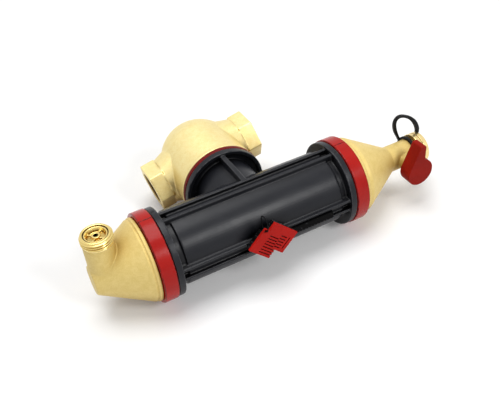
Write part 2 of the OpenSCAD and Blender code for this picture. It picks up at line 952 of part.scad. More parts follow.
module float_lever() {
    color(white_plastic)
        place()
            at_vent()
                difference() {
                    union() {
                        translate([lever_far, -lever_w / 2, -lever_drop])
                            cube([lever_t, lever_w, lever_top + lever_drop]);
                        translate([lever_x, 0, -lever_drop])
                            along_y()
                                rod(lever_knuckle_r, -lever_w / 2, lever_w / 2);
                    }
                    translate([lever_x, 0, -lever_drop])
                        along_y()
                            rod(lever_pin_r + run_gap, -lever_w, lever_w);
                    translate([0, 0, orifice_z])
                        along_x()
                            rod(lever_hole_r, lever_far - cut, lever_near + cut);
                    along_x()
                        rod(guide_window_r, lever_far - cut, lever_near + cut);
                }
}

module lever_pin() {
    color(steel)
        place()
            at_vent()
                translate([lever_x, 0, -lever_drop])
                    along_y()
                        rod(lever_pin_r, -ear_y - ear_t, ear_y + ear_t);
}

module float_guide() {
    color(steel)
        place()
            at_vent()
                along_x()
                    union() {
                        rod(guide_r, guide_stop - guide_stop_t, guide_end);
                        rod(guide_stop_r, guide_stop - guide_stop_t, guide_stop);
                    }
}

module float() {
    color(white_plastic)
        place()
            at_vent()
                along_x()
                    ring_solid(guide_r + run_gap, float_r, float_bottom, float_top);
}

// Drain cone, with the neck and the chamber of the ball valve
module drain_cone() {
    inner_r = drain_r - drain_skew;
    bore_start = drain_cone_start + (inner_r - drain_bore_r) / drain_slope;
    color(brass)
        place()
            difference() {
                union() {
                    along_x()
                        rotate_extrude()
                            polygon(concat(joint_outline(), [
                                [drain_r, rim_end],
                                [drain_r, drain_cone_start],
                                [neck_r, drain_cone_end],
                                [neck_r, neck_end],
                                [ball_room_r, neck_end],
                                [ball_room_r, ball_room_start],
                                [drain_bore_r, ball_room_start],
                                [drain_bore_r, bore_start],
                                [inner_r, drain_cone_start],
                                [inner_r, rim_end],
                                [spigot_in_r, cap_lip_end]
                            ]));
                    toward_front(ball_x)
                        rod(boss_r, ball_room_r + boss_root, boss_reach);
                }
                along_x()
                    rod(ball_room_r, ball_room_start, neck_end + cut);
                toward_front(ball_x)
                    rod(stem_hole_r, 0, boss_reach + cut);
            }
}

module drain_cone_seal() {
    color(rubber)
        place()
            casting_seal();
}

module drain_ball() {
    color(steel)
        place()
            translate([ball_x, 0, 0])
                difference() {
                    sphere(r = ball_r);
                    rod(drain_bore_r, -ball_r - cut, ball_r + cut);
                    translate([-tang_t / 2 - fix_gap, -ball_r - cut, -ball_r - cut])
                        cube([tang_t + 2 * fix_gap, tang_depth + cut, 2 * (ball_r + cut)]);
                }
}

module ball_seats() {
    color(white_plastic)
        place()
            along_x(ball_x)
                for (side = [-1, 1])
                    ring_solid(seat_in_r, ball_room_r - fix_gap,
                        side > 0 ? seat_off : -seat_off - seat_len,
                        side > 0 ? seat_off + seat_len : -seat_off);
}

module valve_tail() {
    color(brass)
        place()
            along_x()
                difference() {
                    union() {
                        rod(ball_room_r - fix_gap, tail_plug_start, neck_end + cut);
                        rod(neck_r, neck_end + fix_gap, outlet_start);
                        rod(outlet_r, outlet_start, outlet_end);
                    }
                    rod(drain_bore_r, tail_plug_start - cut, outlet_end + cut);
                }
}

module drain_stem() {
    color(brass)
        place()
            toward_front(ball_x)
                difference() {
                    union() {
                        rod(stem_r, stem_bottom, stem_end);
                        translate([-tang_t / 2, -tang_w / 2, ball_r - tang_depth + fix_gap])
                            cube([tang_t, tang_w, tang_depth + tang_root]);
                    }
                    translate([0, 0, stem_seal_y])
                        ring_solid(stem_seal_mid_r - stem_seal_r - seal_gap, stem_r + cut,
                            -stem_seal_r - seal_side, stem_seal_r + seal_side);
                    translate([0, -stem_r - cut, set_screw_y])
                        rotate([-90, 0, 0])
                            cylinder(r = set_screw_r + fix_gap, h = cut + set_screw_bite + fix_gap);
                }
}

module stem_seal() {
    color(rubber)
        place()
            toward_front(ball_x)
                translate([0, 0, stem_seal_y])
                    o_ring(stem_seal_mid_r, stem_seal_r);
}

// Round end, and an arm with one straight side and one side that runs off the round end
module handle_outline() {
    far = [handle_side - handle_tip_r, handle_len - handle_tip_r];
    near = [handle_side - handle_tip_w + handle_tip_r, handle_len - handle_tip_r];
    lean = atan2(-near[0], near[1]) + acos((handle_hub_r - handle_tip_r) / norm(near));
    out = [-sin(lean), cos(lean)];
    union() {
        circle(r = handle_hub_r);
        polygon([
            [0, 0],
            [handle_side, 0],
            [handle_side, far[1]],
            far,
            [far[0], handle_len],
            [near[0], handle_len],
            near,
            near + handle_tip_r * out,
            handle_hub_r * out
        ]);
        for (corner = [far, near])
            translate(corner)
                circle(r = handle_tip_r, $fn = 24);
    }
}

module drain_handle() {
    color(red_plastic)
        place()
            toward_front(ball_x)
                difference() {
                    translate([0, 0, handle_back])
                        linear_extrude(height = handle_t)
                            handle_outline();
                    rod(stem_r + fix_gap, handle_back - cut, stem_end + fix_gap);
                    translate([0, -handle_hub_r - cut, set_screw_y])
                        rotate([-90, 0, 0])
                            cylinder(r = set_screw_r + fix_gap, h = handle_hub_r);
                }
}

module handle_set_screw() {
    color(steel)
        place()
            toward_front(ball_x)
                translate([0, -handle_hub_r + set_screw_sunk, set_screw_y])
                    rotate([-90, 0, 0])
                        difference() {
                            cylinder(r = set_screw_r,
                                h = handle_hub_r - set_screw_sunk - stem_r + set_screw_bite);
                            translate([0, 0, -cut])
                                cylinder(r = set_screw_r / 2, h = cut + set_screw_key, $fn = 6);
                        }
}

// Drain cap, washer and strap
module drain_cap() {
    color(brass)
        place()
            along_x()
                difference() {
                    union() {
                        rod(cap_r, cap_start_x, cap_face);
                        rod(stud_r, cap_face - join, stud_end + join);
                        rod(stud_head_r, stud_end, cap_tip);
                    }
                    rod(cap_in_r, cap_start_x - cut, cap_bottom);
                    ring_solid(cap_r - cap_groove_depth, cap_r + cut, cap_groove_x,
                        cap_groove_x + cap_groove_w);
                }
}

module cap_washer() {
    color(rubber)
        place()
            along_x()
                ring_solid(drain_bore_r, cap_in_r - move_gap, washer_x0, washer_x1);
}

// Middle line of the strap's loop: an egg-shaped curve that leaves the neck ring behind the main
// axis and comes forward to the eye on the cap's stud
strap_handles = [
    [strap_neck_x, strap_neck_z],
    [strap_neck_x - strap_swing, strap_neck_pull * strap_rise],
    [strap_cap_x, strap_cap_pull * strap_rise],
    [strap_cap_x, strap_cap_z]
];
function bezier(p, t) = pow(1 - t, 3) * p[0] + 3 * t * pow(1 - t, 2) * p[1]
    + 3 * t * t * (1 - t) * p[2] + pow(t, 3) * p[3];
function bezier_way(p, t) = 3 * pow(1 - t, 2) * (p[1] - p[0]) + 6 * t * (1 - t) * (p[2] - p[1])
    + 3 * t * t * (p[3] - p[2]);
function strap_section(t) =
    let (c = bezier(strap_handles, t))
    let (d = bezier_way(strap_handles, t) / norm(bezier_way(strap_handles, t)))
    let (n = [-d[1], d[0]] * strap_t / 2)
    let (y = strap_back + t * (strap_cap_y - strap_back))
    [
        [c[0] + n[0], y - strap_w / 2, c[1] + n[1]],
        [c[0] + n[0], y + strap_w / 2, c[1] + n[1]],
        [c[0] - n[0], y + strap_w / 2, c[1] - n[1]],
        [c[0] - n[0], y - strap_w / 2, c[1] - n[1]]
    ];

module strap_loop() {
    points = [for (k = [0:strap_steps]) each strap_section(k / strap_steps)];
    sides = [for (k = [0:strap_steps - 1], s = [0:3])
        each let (a = 4 * k + s, b = 4 * k + (s + 1) % 4) [[a, b, b + 4], [a, b + 4, a + 4]]];
    last = 4 * strap_steps;
    ends = [[0, 2, 1], [0, 3, 2], [last, last + 1, last + 2], [last, last + 2, last + 3]];
    polyhedron(points = points, faces = concat(sides, ends));
}

module cap_strap() {
    color(soft_black)
        place()
            union() {
                strap_loop();
                along_x(strap_neck_x)
                    ring_solid(strap_neck_in, strap_neck_in + strap_t, -strap_w / 2, strap_w / 2);
                along_x(strap_cap_x) {
                    ring_solid(strap_eye_in, strap_eye_r, -strap_t / 2, strap_t / 2);
                    rotate([0, 0, 180 - strap_tab_turn])
                        translate([strap_eye_r - strap_t / 2, -strap_w / 2, -strap_t / 2])
                            cube([strap_tab_len - strap_eye_r + strap_t, strap_w, strap_t]);
                }
            }
}

// Connection head
module port_outside() {
    along_x() {
        translate([0, 0, port_cone_start])
            cylinder(r1 = port_cone_r, r2 = port_cone_end_r, h = port_hex_in - port_cone_start + join);
        translate([0, 0, port_hex_in])
            cylinder(r = port_hex_r, h = port_hex_len, $fn = 6);
    }
}

module port_inside() {
    along_x() {
        rod(port_thread_r, port_reach - port_thread_len, port_reach + cut);
        rod(port_way_r, septum_x + septum_t, port_reach);
    }
}

// Room inside the cup, from its floor to the dome
module cup_room() {
    rod(cup_in_r, cup_floor, dome_y);
    translate([0, 0, dome_y])
        sphere(r = dome_in_r);
}

module septum() {
    intersection() {
        union() {
            translate([-septum_x - septum_t, -dome_r, septum_y])
                cube([septum_t, 2 * dome_r, dome_y + dome_r - septum_y]);
            difference() {
                translate([-septum_x - septum_t, -dome_r, septum_y])
                    cube([septum_x + septum_t + dome_r, 2 * dome_r, septum_t]);
                rod(flow_tube_r + move_gap, septum_y - cut, septum_y + septum_t + cut);
            }
        }
        union() {
            rod(cup_r - 1, cup_floor, dome_y);
            translate([0, 0, dome_y])
                sphere(r = dome_r - 1);
        }
    }
}

module connection_head() {
    color(brass)
        place()
            in_head()
                union() {
                    difference() {
                        union() {
                            rod(head_spigot_r, head_spigot_y0, head_lip_y1);
                            rod(head_lip_r, head_lip_y0, head_lip_y1);
                            rod(head_neck_r, head_lip_y0, cup_start + cut);
                            rod(cup_lip_r, cup_start, cup_start + cup_lip_t);
                            translate([0, 0, cup_start])
                                cylinder(r1 = cup_r, r2 = dome_r, h = dome_y - cup_start);
                            translate([0, 0, dome_y])
                                sphere(r = dome_r);
                            translate([0, 0, port_y]) {
                                port_outside();
                                mirror([1, 0, 0])
                                    port_outside();
                            }
                        }
                        rod(head_bore_r, head_spigot_y0 - cut, cup_floor + cut);
                        cup_room();
                        translate([0, 0, port_y]) {
                            port_inside();
                            mirror([1, 0, 0])
                                port_inside();
                        }
                        for (y = head_seal_spots)
                            ring_solid(head_seal_groove_r, head_spigot_r + cut, y - head_seal_r - seal_side,
                                y + head_seal_r + seal_side);
                    }
                    septum();
                }
}

module head_seals() {
    color(rubber)
        place()
            in_head()
                for (y = head_seal_spots)
                    translate([0, 0, y])
                        o_ring(head_seal_mid_r, head_seal_r);
}

module head_lock_ring() {
    color(dark_red)
        place()
            along_y()
                rotate_extrude()
                    polygon([
                        [recess_r, branch_reach],
                        [lock_skirt_r0, branch_reach],
                        [lock_skirt_r0, branch_reach - lock_skirt_len],
                        [lock_skirt_r1, branch_reach - lock_skirt_len],
                        [lock_skirt_r1, branch_reach],
                        [lock_r, branch_reach],
                        [lock_r, lock_out],
                        [lock_hole_r, lock_out],
                        [lock_hole_r, branch_reach + recess_depth],
                        [recess_r, branch_reach + recess_depth]
                    ]);
}

// Flow tube and separator
module flow_tube() {
    color(black_plastic)
        place()
            along_y()
                difference() {
                    union() {
                        rod(flow_tube_r, flow_tube_y0, flow_tube_y1);
                        intersection() {
                            rod(fin_r, fin_y0, fin_y1);
                            for (turn = [0, 90])
                                rotate([0, 0, turn])
                                    translate([-fin_r - cut, -fin_t / 2, fin_y0])
                                        cube([2 * (fin_r + cut), fin_t, fin_y1 - fin_y0]);
                        }
                    }
                    rod(flow_tube_r - flow_tube_wall, flow_tube_y0 - cut, flow_tube_y1 + cut);
                }
}

module separator_cage() {
    color(black_plastic)
        place()
            union() {
                for (side = [-1, 1])
                    along_x(side * (cage_half - cage_ring_w / 2))
                        union() {
                            ring_solid(cage_in_r, cage_out_r, -cage_ring_w / 2, cage_ring_w / 2);
                            ring_solid(core_rod_r + fix_gap, cage_hub_r, -cage_ring_w / 2, cage_ring_w / 2);
                            for (turn = [45:90:315])
                                rotate([0, 0, turn])
                                    translate([cage_hub_r - cage_arm_root, -cage_arm_t / 2,
                                        -cage_ring_w / 2])
                                        cube([cage_in_r - cage_hub_r + 2 * cage_arm_root, cage_arm_t,
                                            cage_ring_w]);
                        }
                for (angle = cage_bars)
                    radial(angle)
                        translate([0, 0, cage_bar_at])
                            along_x()
                                rod(cage_bar_r, -cage_half + cage_ring_w / 2, cage_half - cage_ring_w / 2);
            }
}

module core_rod() {
    color(steel)
        place()
            along_x()
                rod(core_rod_r, -cage_half, cage_half);
}

module separator_discs() {
    step = (disc_last - disc_first) / (discs_per_side - 1);
    hole_r = 0.2 * disc_r;
    hole_at = 0.6 * disc_r;
    color(steel)
        place()
            along_x()
                for (side = [-1, 1], k = [0:discs_per_side - 1])
                    translate([0, 0, side * (disc_first + k * step) - disc_t / 2])
                        difference() {
                            cylinder(r = disc_r, h = disc_t);
                            translate([0, 0, -cut])
                                cylinder(r = core_rod_r + fix_gap / 2, h = disc_t + 2 * cut);
                            for (turn = [0:60:300])
                                rotate([0, 0, turn])
                                    translate([hole_at, 0, -cut])
                                        cylinder(r = hole_r, h = disc_t + 2 * cut);
                        }
}

// Magnet cartridge
module magnet_pockets(gap) {
    for (k = [0:magnet_count - 1])
        translate([carrier_x0 + carrier_end + (k + 0.5) * magnet_pitch - magnet_len / 2 - gap,
            -magnet_w / 2 - gap, carrier_y0 - cut])
            cube([magnet_len + 2 * gap, magnet_w + 2 * gap, magnet_h + cut + gap]);
}

module magnet_carrier() {
    teeth = floor(carrier_run / tooth_pitch);
    color(soft_black)
        place()
            toward_front()
                difference() {
                    translate([carrier_x0, -carrier_w / 2, carrier_y0])
                        cube([carrier_x1 - carrier_x0, carrier_w, carrier_h]);
                    magnet_pockets(fix_gap);
                    for (k = [0:teeth - 1])
                        translate([carrier_x0 + carrier_end + k * tooth_pitch, -carrier_w / 2 - cut,
                            carrier_y1 - tooth_depth])
                            cube([tooth_w, cut + tooth_w, tooth_depth + cut]);
                }
}

module magnets() {
    color(steel)
        place()
            toward_front()
                intersection() {
                    magnet_pockets(0);
                    translate([carrier_x0, -carrier_w, carrier_y0 + magnet_sunk])
                        cube([carrier_x1 - carrier_x0, 2 * carrier_w, carrier_h]);
                }
}

module lobe(box, inset) {
    translate([box[0][0] + inset, -box[1][1] + inset])
        square([box[1][0] - box[0][0] - 2 * inset, box[1][1] - box[0][1] - 2 * inset]);
}

module tag_block() {
    color(soft_black)
        place()
            in_tag()
                difference() {
                    translate([0, 0, carrier_y1])
                        linear_extrude(height = tag_block_t)
                            union() {
                                lobe(lobe_a, tag_block_in);
                                lobe(lobe_b, tag_block_in);
                            }
                    translate([tag_eye[0], -tag_eye[1], carrier_y1 - cut])
                        cylinder(r = tag_relief_r, h = tag_block_t + 2 * cut);
                }
}

module tag_slots() {
    for (k = [0:rows_a - 1])
        translate([lobe_a[0][0] + slots_a[0], -lobe_a[1][1] + slots_a[1] + tag_slot_pitch * k])
            square([k < comb_rows ? comb_len : slots_a[2], tag_slot_w]);
    for (k = [0:rows_b - 1])
        translate([lobe_b[0][0] + slots_b[0], -lobe_b[1][1] + slots_b[1] + tag_slot_pitch * k])
            square([slots_b[2], tag_slot_w]);
    translate([lobe_b[0][0] + slash_b[0], -lobe_b[1][1] + slash_b[1]])
        square([tag_slot_w, slash_b[2]]);
}

module pull_tag() {
    color(red_plastic)
        place()
            in_tag()
                difference() {
                    translate([0, 0, tag_y0])
                        linear_extrude(height = tag_t)
                            union() {
                                lobe(lobe_a, 0);
                                lobe(lobe_b, 0);
                            }
                    translate([0, 0, tag_y1 - tag_slot_depth])
                        linear_extrude(height = tag_slot_depth + cut)
                            tag_slots();
                    translate([tag_eye[0], -tag_eye[1], tag_y0 - cut])
                        cylinder(r = tag_eye_r, h = tag_t + 2 * cut);
                }
}

// Wire loop: two straight sides and two round ends, through the tag's eye
module tag_ring() {
    color(soft_black)
        place()
            in_tag()
                translate([tag_eye[0], -tag_eye[1], tag_mid])
                    rotate([90, 0, 135])
                        wire_loop();
}

module wire_loop() {
    bend_r = tag_ring_w / 2;
    for (side = [-1, 1])
        translate([0, side * bend_r, 0])
            along_x(bend_r)
                cylinder(r = tag_wire_r, h = tag_ring_len, $fn = 24);
    for (end = [0, 1])
        translate([bend_r + end * tag_ring_len, 0, 0])
            intersection() {
                o_ring(bend_r, tag_wire_r);
                translate([end > 0 ? 0 : -bend_r - cut, -bend_r - cut, -cut])
                    cube([bend_r + cut, 2 * (bend_r + cut), 2 * cut]);
            }
}

main_body();
vent_cap();
vent_cap_seal();
vent_ring_front();
vent_ring_rear();
vent_ring_pins();
nozzle_insert();
vent_seat();
vent_needle();
float_lever();
lever_pin();
float_guide();
float();
drain_cone();
drain_cone_seal();
drain_ring_front();
drain_ring_rear();
drain_ring_pins();
drain_ball();
ball_seats();
valve_tail();
drain_stem();
stem_seal();
drain_handle();
handle_set_screw();
drain_cap();
cap_washer();
cap_strap();
connection_head();
head_seals();
head_lock_ring();
flow_tube();
separator_cage();
core_rod();
separator_discs();
magnet_carrier();
magnets();
tag_block();
pull_tag();
tag_ring();
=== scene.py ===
import json
import math
import bmesh
import bpy
from mathutils import Matrix, Vector


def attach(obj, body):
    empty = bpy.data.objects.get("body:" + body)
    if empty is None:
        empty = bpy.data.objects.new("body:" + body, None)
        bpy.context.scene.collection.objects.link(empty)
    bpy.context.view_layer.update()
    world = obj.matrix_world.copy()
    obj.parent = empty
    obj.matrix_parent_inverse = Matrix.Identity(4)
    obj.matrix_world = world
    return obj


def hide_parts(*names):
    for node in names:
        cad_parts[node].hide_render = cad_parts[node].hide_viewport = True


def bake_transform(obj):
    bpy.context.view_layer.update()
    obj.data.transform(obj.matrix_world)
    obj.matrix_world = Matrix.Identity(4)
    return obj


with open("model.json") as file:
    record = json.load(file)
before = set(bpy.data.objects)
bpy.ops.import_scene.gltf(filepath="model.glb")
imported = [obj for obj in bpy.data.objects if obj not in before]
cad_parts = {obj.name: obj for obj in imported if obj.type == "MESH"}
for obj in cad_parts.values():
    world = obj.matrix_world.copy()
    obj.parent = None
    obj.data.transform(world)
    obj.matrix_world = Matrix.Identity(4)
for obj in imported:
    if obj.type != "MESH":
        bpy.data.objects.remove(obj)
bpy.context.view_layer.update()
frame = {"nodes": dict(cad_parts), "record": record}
nodes = frame["nodes"]
slotOf = {s["node"]: s["material_slot"] for s in frame["record"]["subparts"]}
scene = bpy.context.scene

# the pieces are drawn in mm about the main tube's axis (X), branch along +Y, then laid down
lay = {"tilt": -0.922041, "midX": 18.172, "midY": 38.86959, "ringR": 34.0}
mm = 0.001  # in metres
tiny = 1e-6
axisR = 0.001  # radius, in mm, of a point on a turning axis
laidAt = Vector((-lay["midX"], -lay["midY"], lay["ringR"]))
tubeToRow = (Matrix.Scale(mm, 4) @ Matrix.Translation(laidAt)
             @ Matrix.Rotation(math.radians(lay["tilt"]), 4, "X"))
rowToTube = tubeToRow.inverted()
ventEnd = Matrix.Diagonal((-1, 1, 1, 1))
alongX = Matrix.Rotation(math.radians(90), 4, "Y")
alongY = Matrix.Rotation(math.radians(-90), 4, "X")


# shader helpers
def addNode(tree, kind, x, y, **values):
    node = tree.nodes.new(kind)
    node.location = (x, y)
    for key, value in values.items():
        setattr(node, key, value)
    return node


def feed(tree, socket, value):  # a link from another socket, or a plain value
    if isinstance(value, bpy.types.NodeSocket):
        tree.links.new(value, socket)
    else:
        socket.default_value = value


def mathOf(tree, operation, x, y, *values):
    node = addNode(tree, "ShaderNodeMath", x, y, operation=operation)
    for socket, value in zip(node.inputs, values):
        feed(tree, socket, value)
    return node.outputs[0]


def mapRange(tree, source, span, x, y, to=(0.0, 1.0), curve="SMOOTHSTEP"):
    node = addNode(tree, "ShaderNodeMapRange", x, y, interpolation_type=curve)
    for socket, value in zip(node.inputs[:5], (source, *span, *to)):
        feed(tree, socket, value)
    return node.outputs[0]


def mixOf(tree, share, under, over, x, y, kind="RGBA"):
    node = addNode(tree, "ShaderNodeMix", x, y, data_type=kind)
    first = {"RGBA": 6, "FLOAT": 2}[kind]  # the mix node keeps its A and B sockets by type
    for key, value in ((0, share), (first, under), (first + 1, over)):
        feed(tree, node.inputs[key], value)
    return node.outputs[{"RGBA": 2, "FLOAT": 0}[kind]]


def newGroup(name, inputs, outputs):
    group = bpy.data.node_groups.new(name, "ShaderNodeTree")
    for label, value in inputs.items():
        kind = "NodeSocketVector" if isinstance(value, tuple) else "NodeSocketFloat"
        socket = group.interface.new_socket(name=label, in_out="INPUT", socket_type=kind)
        socket.default_value = value
    for label in outputs:
        group.interface.new_socket(name=label, in_out="OUTPUT", socket_type="NodeSocketFloat")
    gin = addNode(group, "NodeGroupInput", -900, 0)
    gout = addNode(group, "NodeGroupOutput", 700, 0)
    coords = addNode(group, "ShaderNodeTexCoord", -900, -300).outputs["Object"]
    return group, gin.outputs, gout.inputs, coords


def sizedNoise(group, size, coords, x, y, detail=3.0, rough=0.6, distort=0.0):
    perMetre = mathOf(group, "DIVIDE", x - 200, y, 1.0, size)
    grain = addNode(group, "ShaderNodeTexNoise", x, y)
    values = {"Vector": coords, "Scale": perMetre, "Detail": detail, "Roughness": rough,
              "Distortion": distort}
    for label, value in values.items():
        feed(group, grain.inputs[label], value)
    return grain.outputs[0]


# shader groups
def makeBlastGrain():  # shot-blasted casting skin: fine grit on soft patches
    grain = {"patchLift": 0.35, "gritShare": 0.55, "mottleSpan": (0.36, 0.64)}
    group, gin, gout, coords = newGroup("blastGrain", {"Grit Size": 0.0005, "Patch Size": 0.012},
                                        ("Height", "Mottle"))
    grit = sizedNoise(group, gin["Grit Size"], coords, -300, 200)
    patch = sizedNoise(group, gin["Patch Size"], coords, -300, -200, detail=5.0, distort=0.4)
    height = mathOf(group, "MULTIPLY_ADD", 100, 200, patch, grain["patchLift"], grit)
    both = mixOf(group, grain["gritShare"], patch, grit, -60, -200, "FLOAT")
    feed(group, gout["Height"], height)
    feed(group, gout["Mottle"], mapRange(group, both, grain["mottleSpan"], 100, -200))
    return group


def makeMouldSkin():  # moulded plastic: a fine eroded skin with long, faint flow lines
    skin = {"stretch": (0.35, 1.0, 1.0), "flowSpan": (0.3, 0.7)}
    group, gin, gout, coords = newGroup("mouldSkin", {"Skin Size": 0.0004, "Flow Size": 0.03},
                                        ("Height", "Flow"))
    height = sizedNoise(group, gin["Skin Size"], coords, -300, 200, detail=2.0, rough=0.5)
    stretch = addNode(group, "ShaderNodeMapping", -650, -300)
    feed(group, stretch.inputs["Scale"], skin["stretch"])
    feed(group, stretch.inputs["Vector"], coords)
    flow = sizedNoise(group, gin["Flow Size"], stretch.outputs[0], -300, -200, detail=4.0,
                      distort=1.2)
    feed(group, gout["Height"], height)
    feed(group, gout["Flow"], mapRange(group, flow, skin["flowSpan"], 100, -200))
    return group


def makeEdgeWearAndShadingMask():  # raised edges, broken up by noise: light wear on most finishes, a painted highlight on the body plastic and a painted shadow line on the red rings
    edgeWearAndShading = {"gateSpan": (0.3, 0.6)}
    group, gin, gout, coords = newGroup("edgeWearAndShadingMask", {"From": 0.52, "To": 0.6, "Break Size": 0.003},
                                        ("Mask",))
    shape = addNode(group, "ShaderNodeNewGeometry", -600, 300)
    edge = mapRange(group, shape.outputs["Pointiness"], (gin["From"], gin["To"]), -200, 300)
    patchy = sizedNoise(group, gin["Break Size"], coords, -300, -200)
    gate = mapRange(group, patchy, edgeWearAndShading["gateSpan"], 100, -200)
    feed(group, gout["Mask"], mathOf(group, "MULTIPLY", 400, 100, edge, gate))
    return group


def makeTurnedLines():  # fine tool marks round an axis
    group, gin, gout, coords = newGroup("turnedLines", {"Axis": (1, 0, 0), "Line Size": 0.00025},
                                        ("Height", "Tone"))
    reach = addNode(group, "ShaderNodeVectorMath", -650, 100, operation="DOT_PRODUCT")
    feed(group, reach.inputs[0], coords)
    feed(group, reach.inputs[1], gin["Axis"])
    flat = addNode(group, "ShaderNodeCombineXYZ", -480, 100)
    feed(group, flat.inputs[0], reach.outputs["Value"])
    lines = sizedNoise(group, gin["Line Size"], flat.outputs[0], -200, 200, detail=2.0, rough=0.7)
    feed(group, gout["Height"], lines)
    feed(group, gout["Tone"], lines)
    return group


def makeSmears():  # handling marks: soft smears that change the gloss
    group, gin, gout, coords = newGroup("smears", {"Smear Size": 0.02}, ("Mask",))
    smear = sizedNoise(group, gin["Smear Size"], coords, -300, 0, detail=6.0, rough=0.62,
                       distort=0.9)
    feed(group, gout["Mask"], smear)
    return group


groups = {"blastGrain": makeBlastGrain(), "mouldSkin": makeMouldSkin(), "edgeWearAndShadingMask": makeEdgeWearAndShadingMask(),
          "turnedLines": makeTurnedLines(), "smears": makeSmears()}
print("shader groups:", ", ".join(groups))


def placeGroup(tree, name, x, y, values):
    node = addNode(tree, "ShaderNodeGroup", x, y, node_tree=groups[name])
    for label, value in values.items():
        node.inputs[label].default_value = value
    return node.outputs


# for each skin group: its inputs from the finish, and the output that mottles the colour
skins = {"turnedLines": ({"Axis": "axis", "Line Size": "skinSize"}, "Tone"),
         "blastGrain": ({"Grit Size": "skinSize", "Patch Size": "patchSize"}, "Mottle"),
         "mouldSkin": ({"Skin Size": "skinSize", "Flow Size": "patchSize"}, "Flow")}
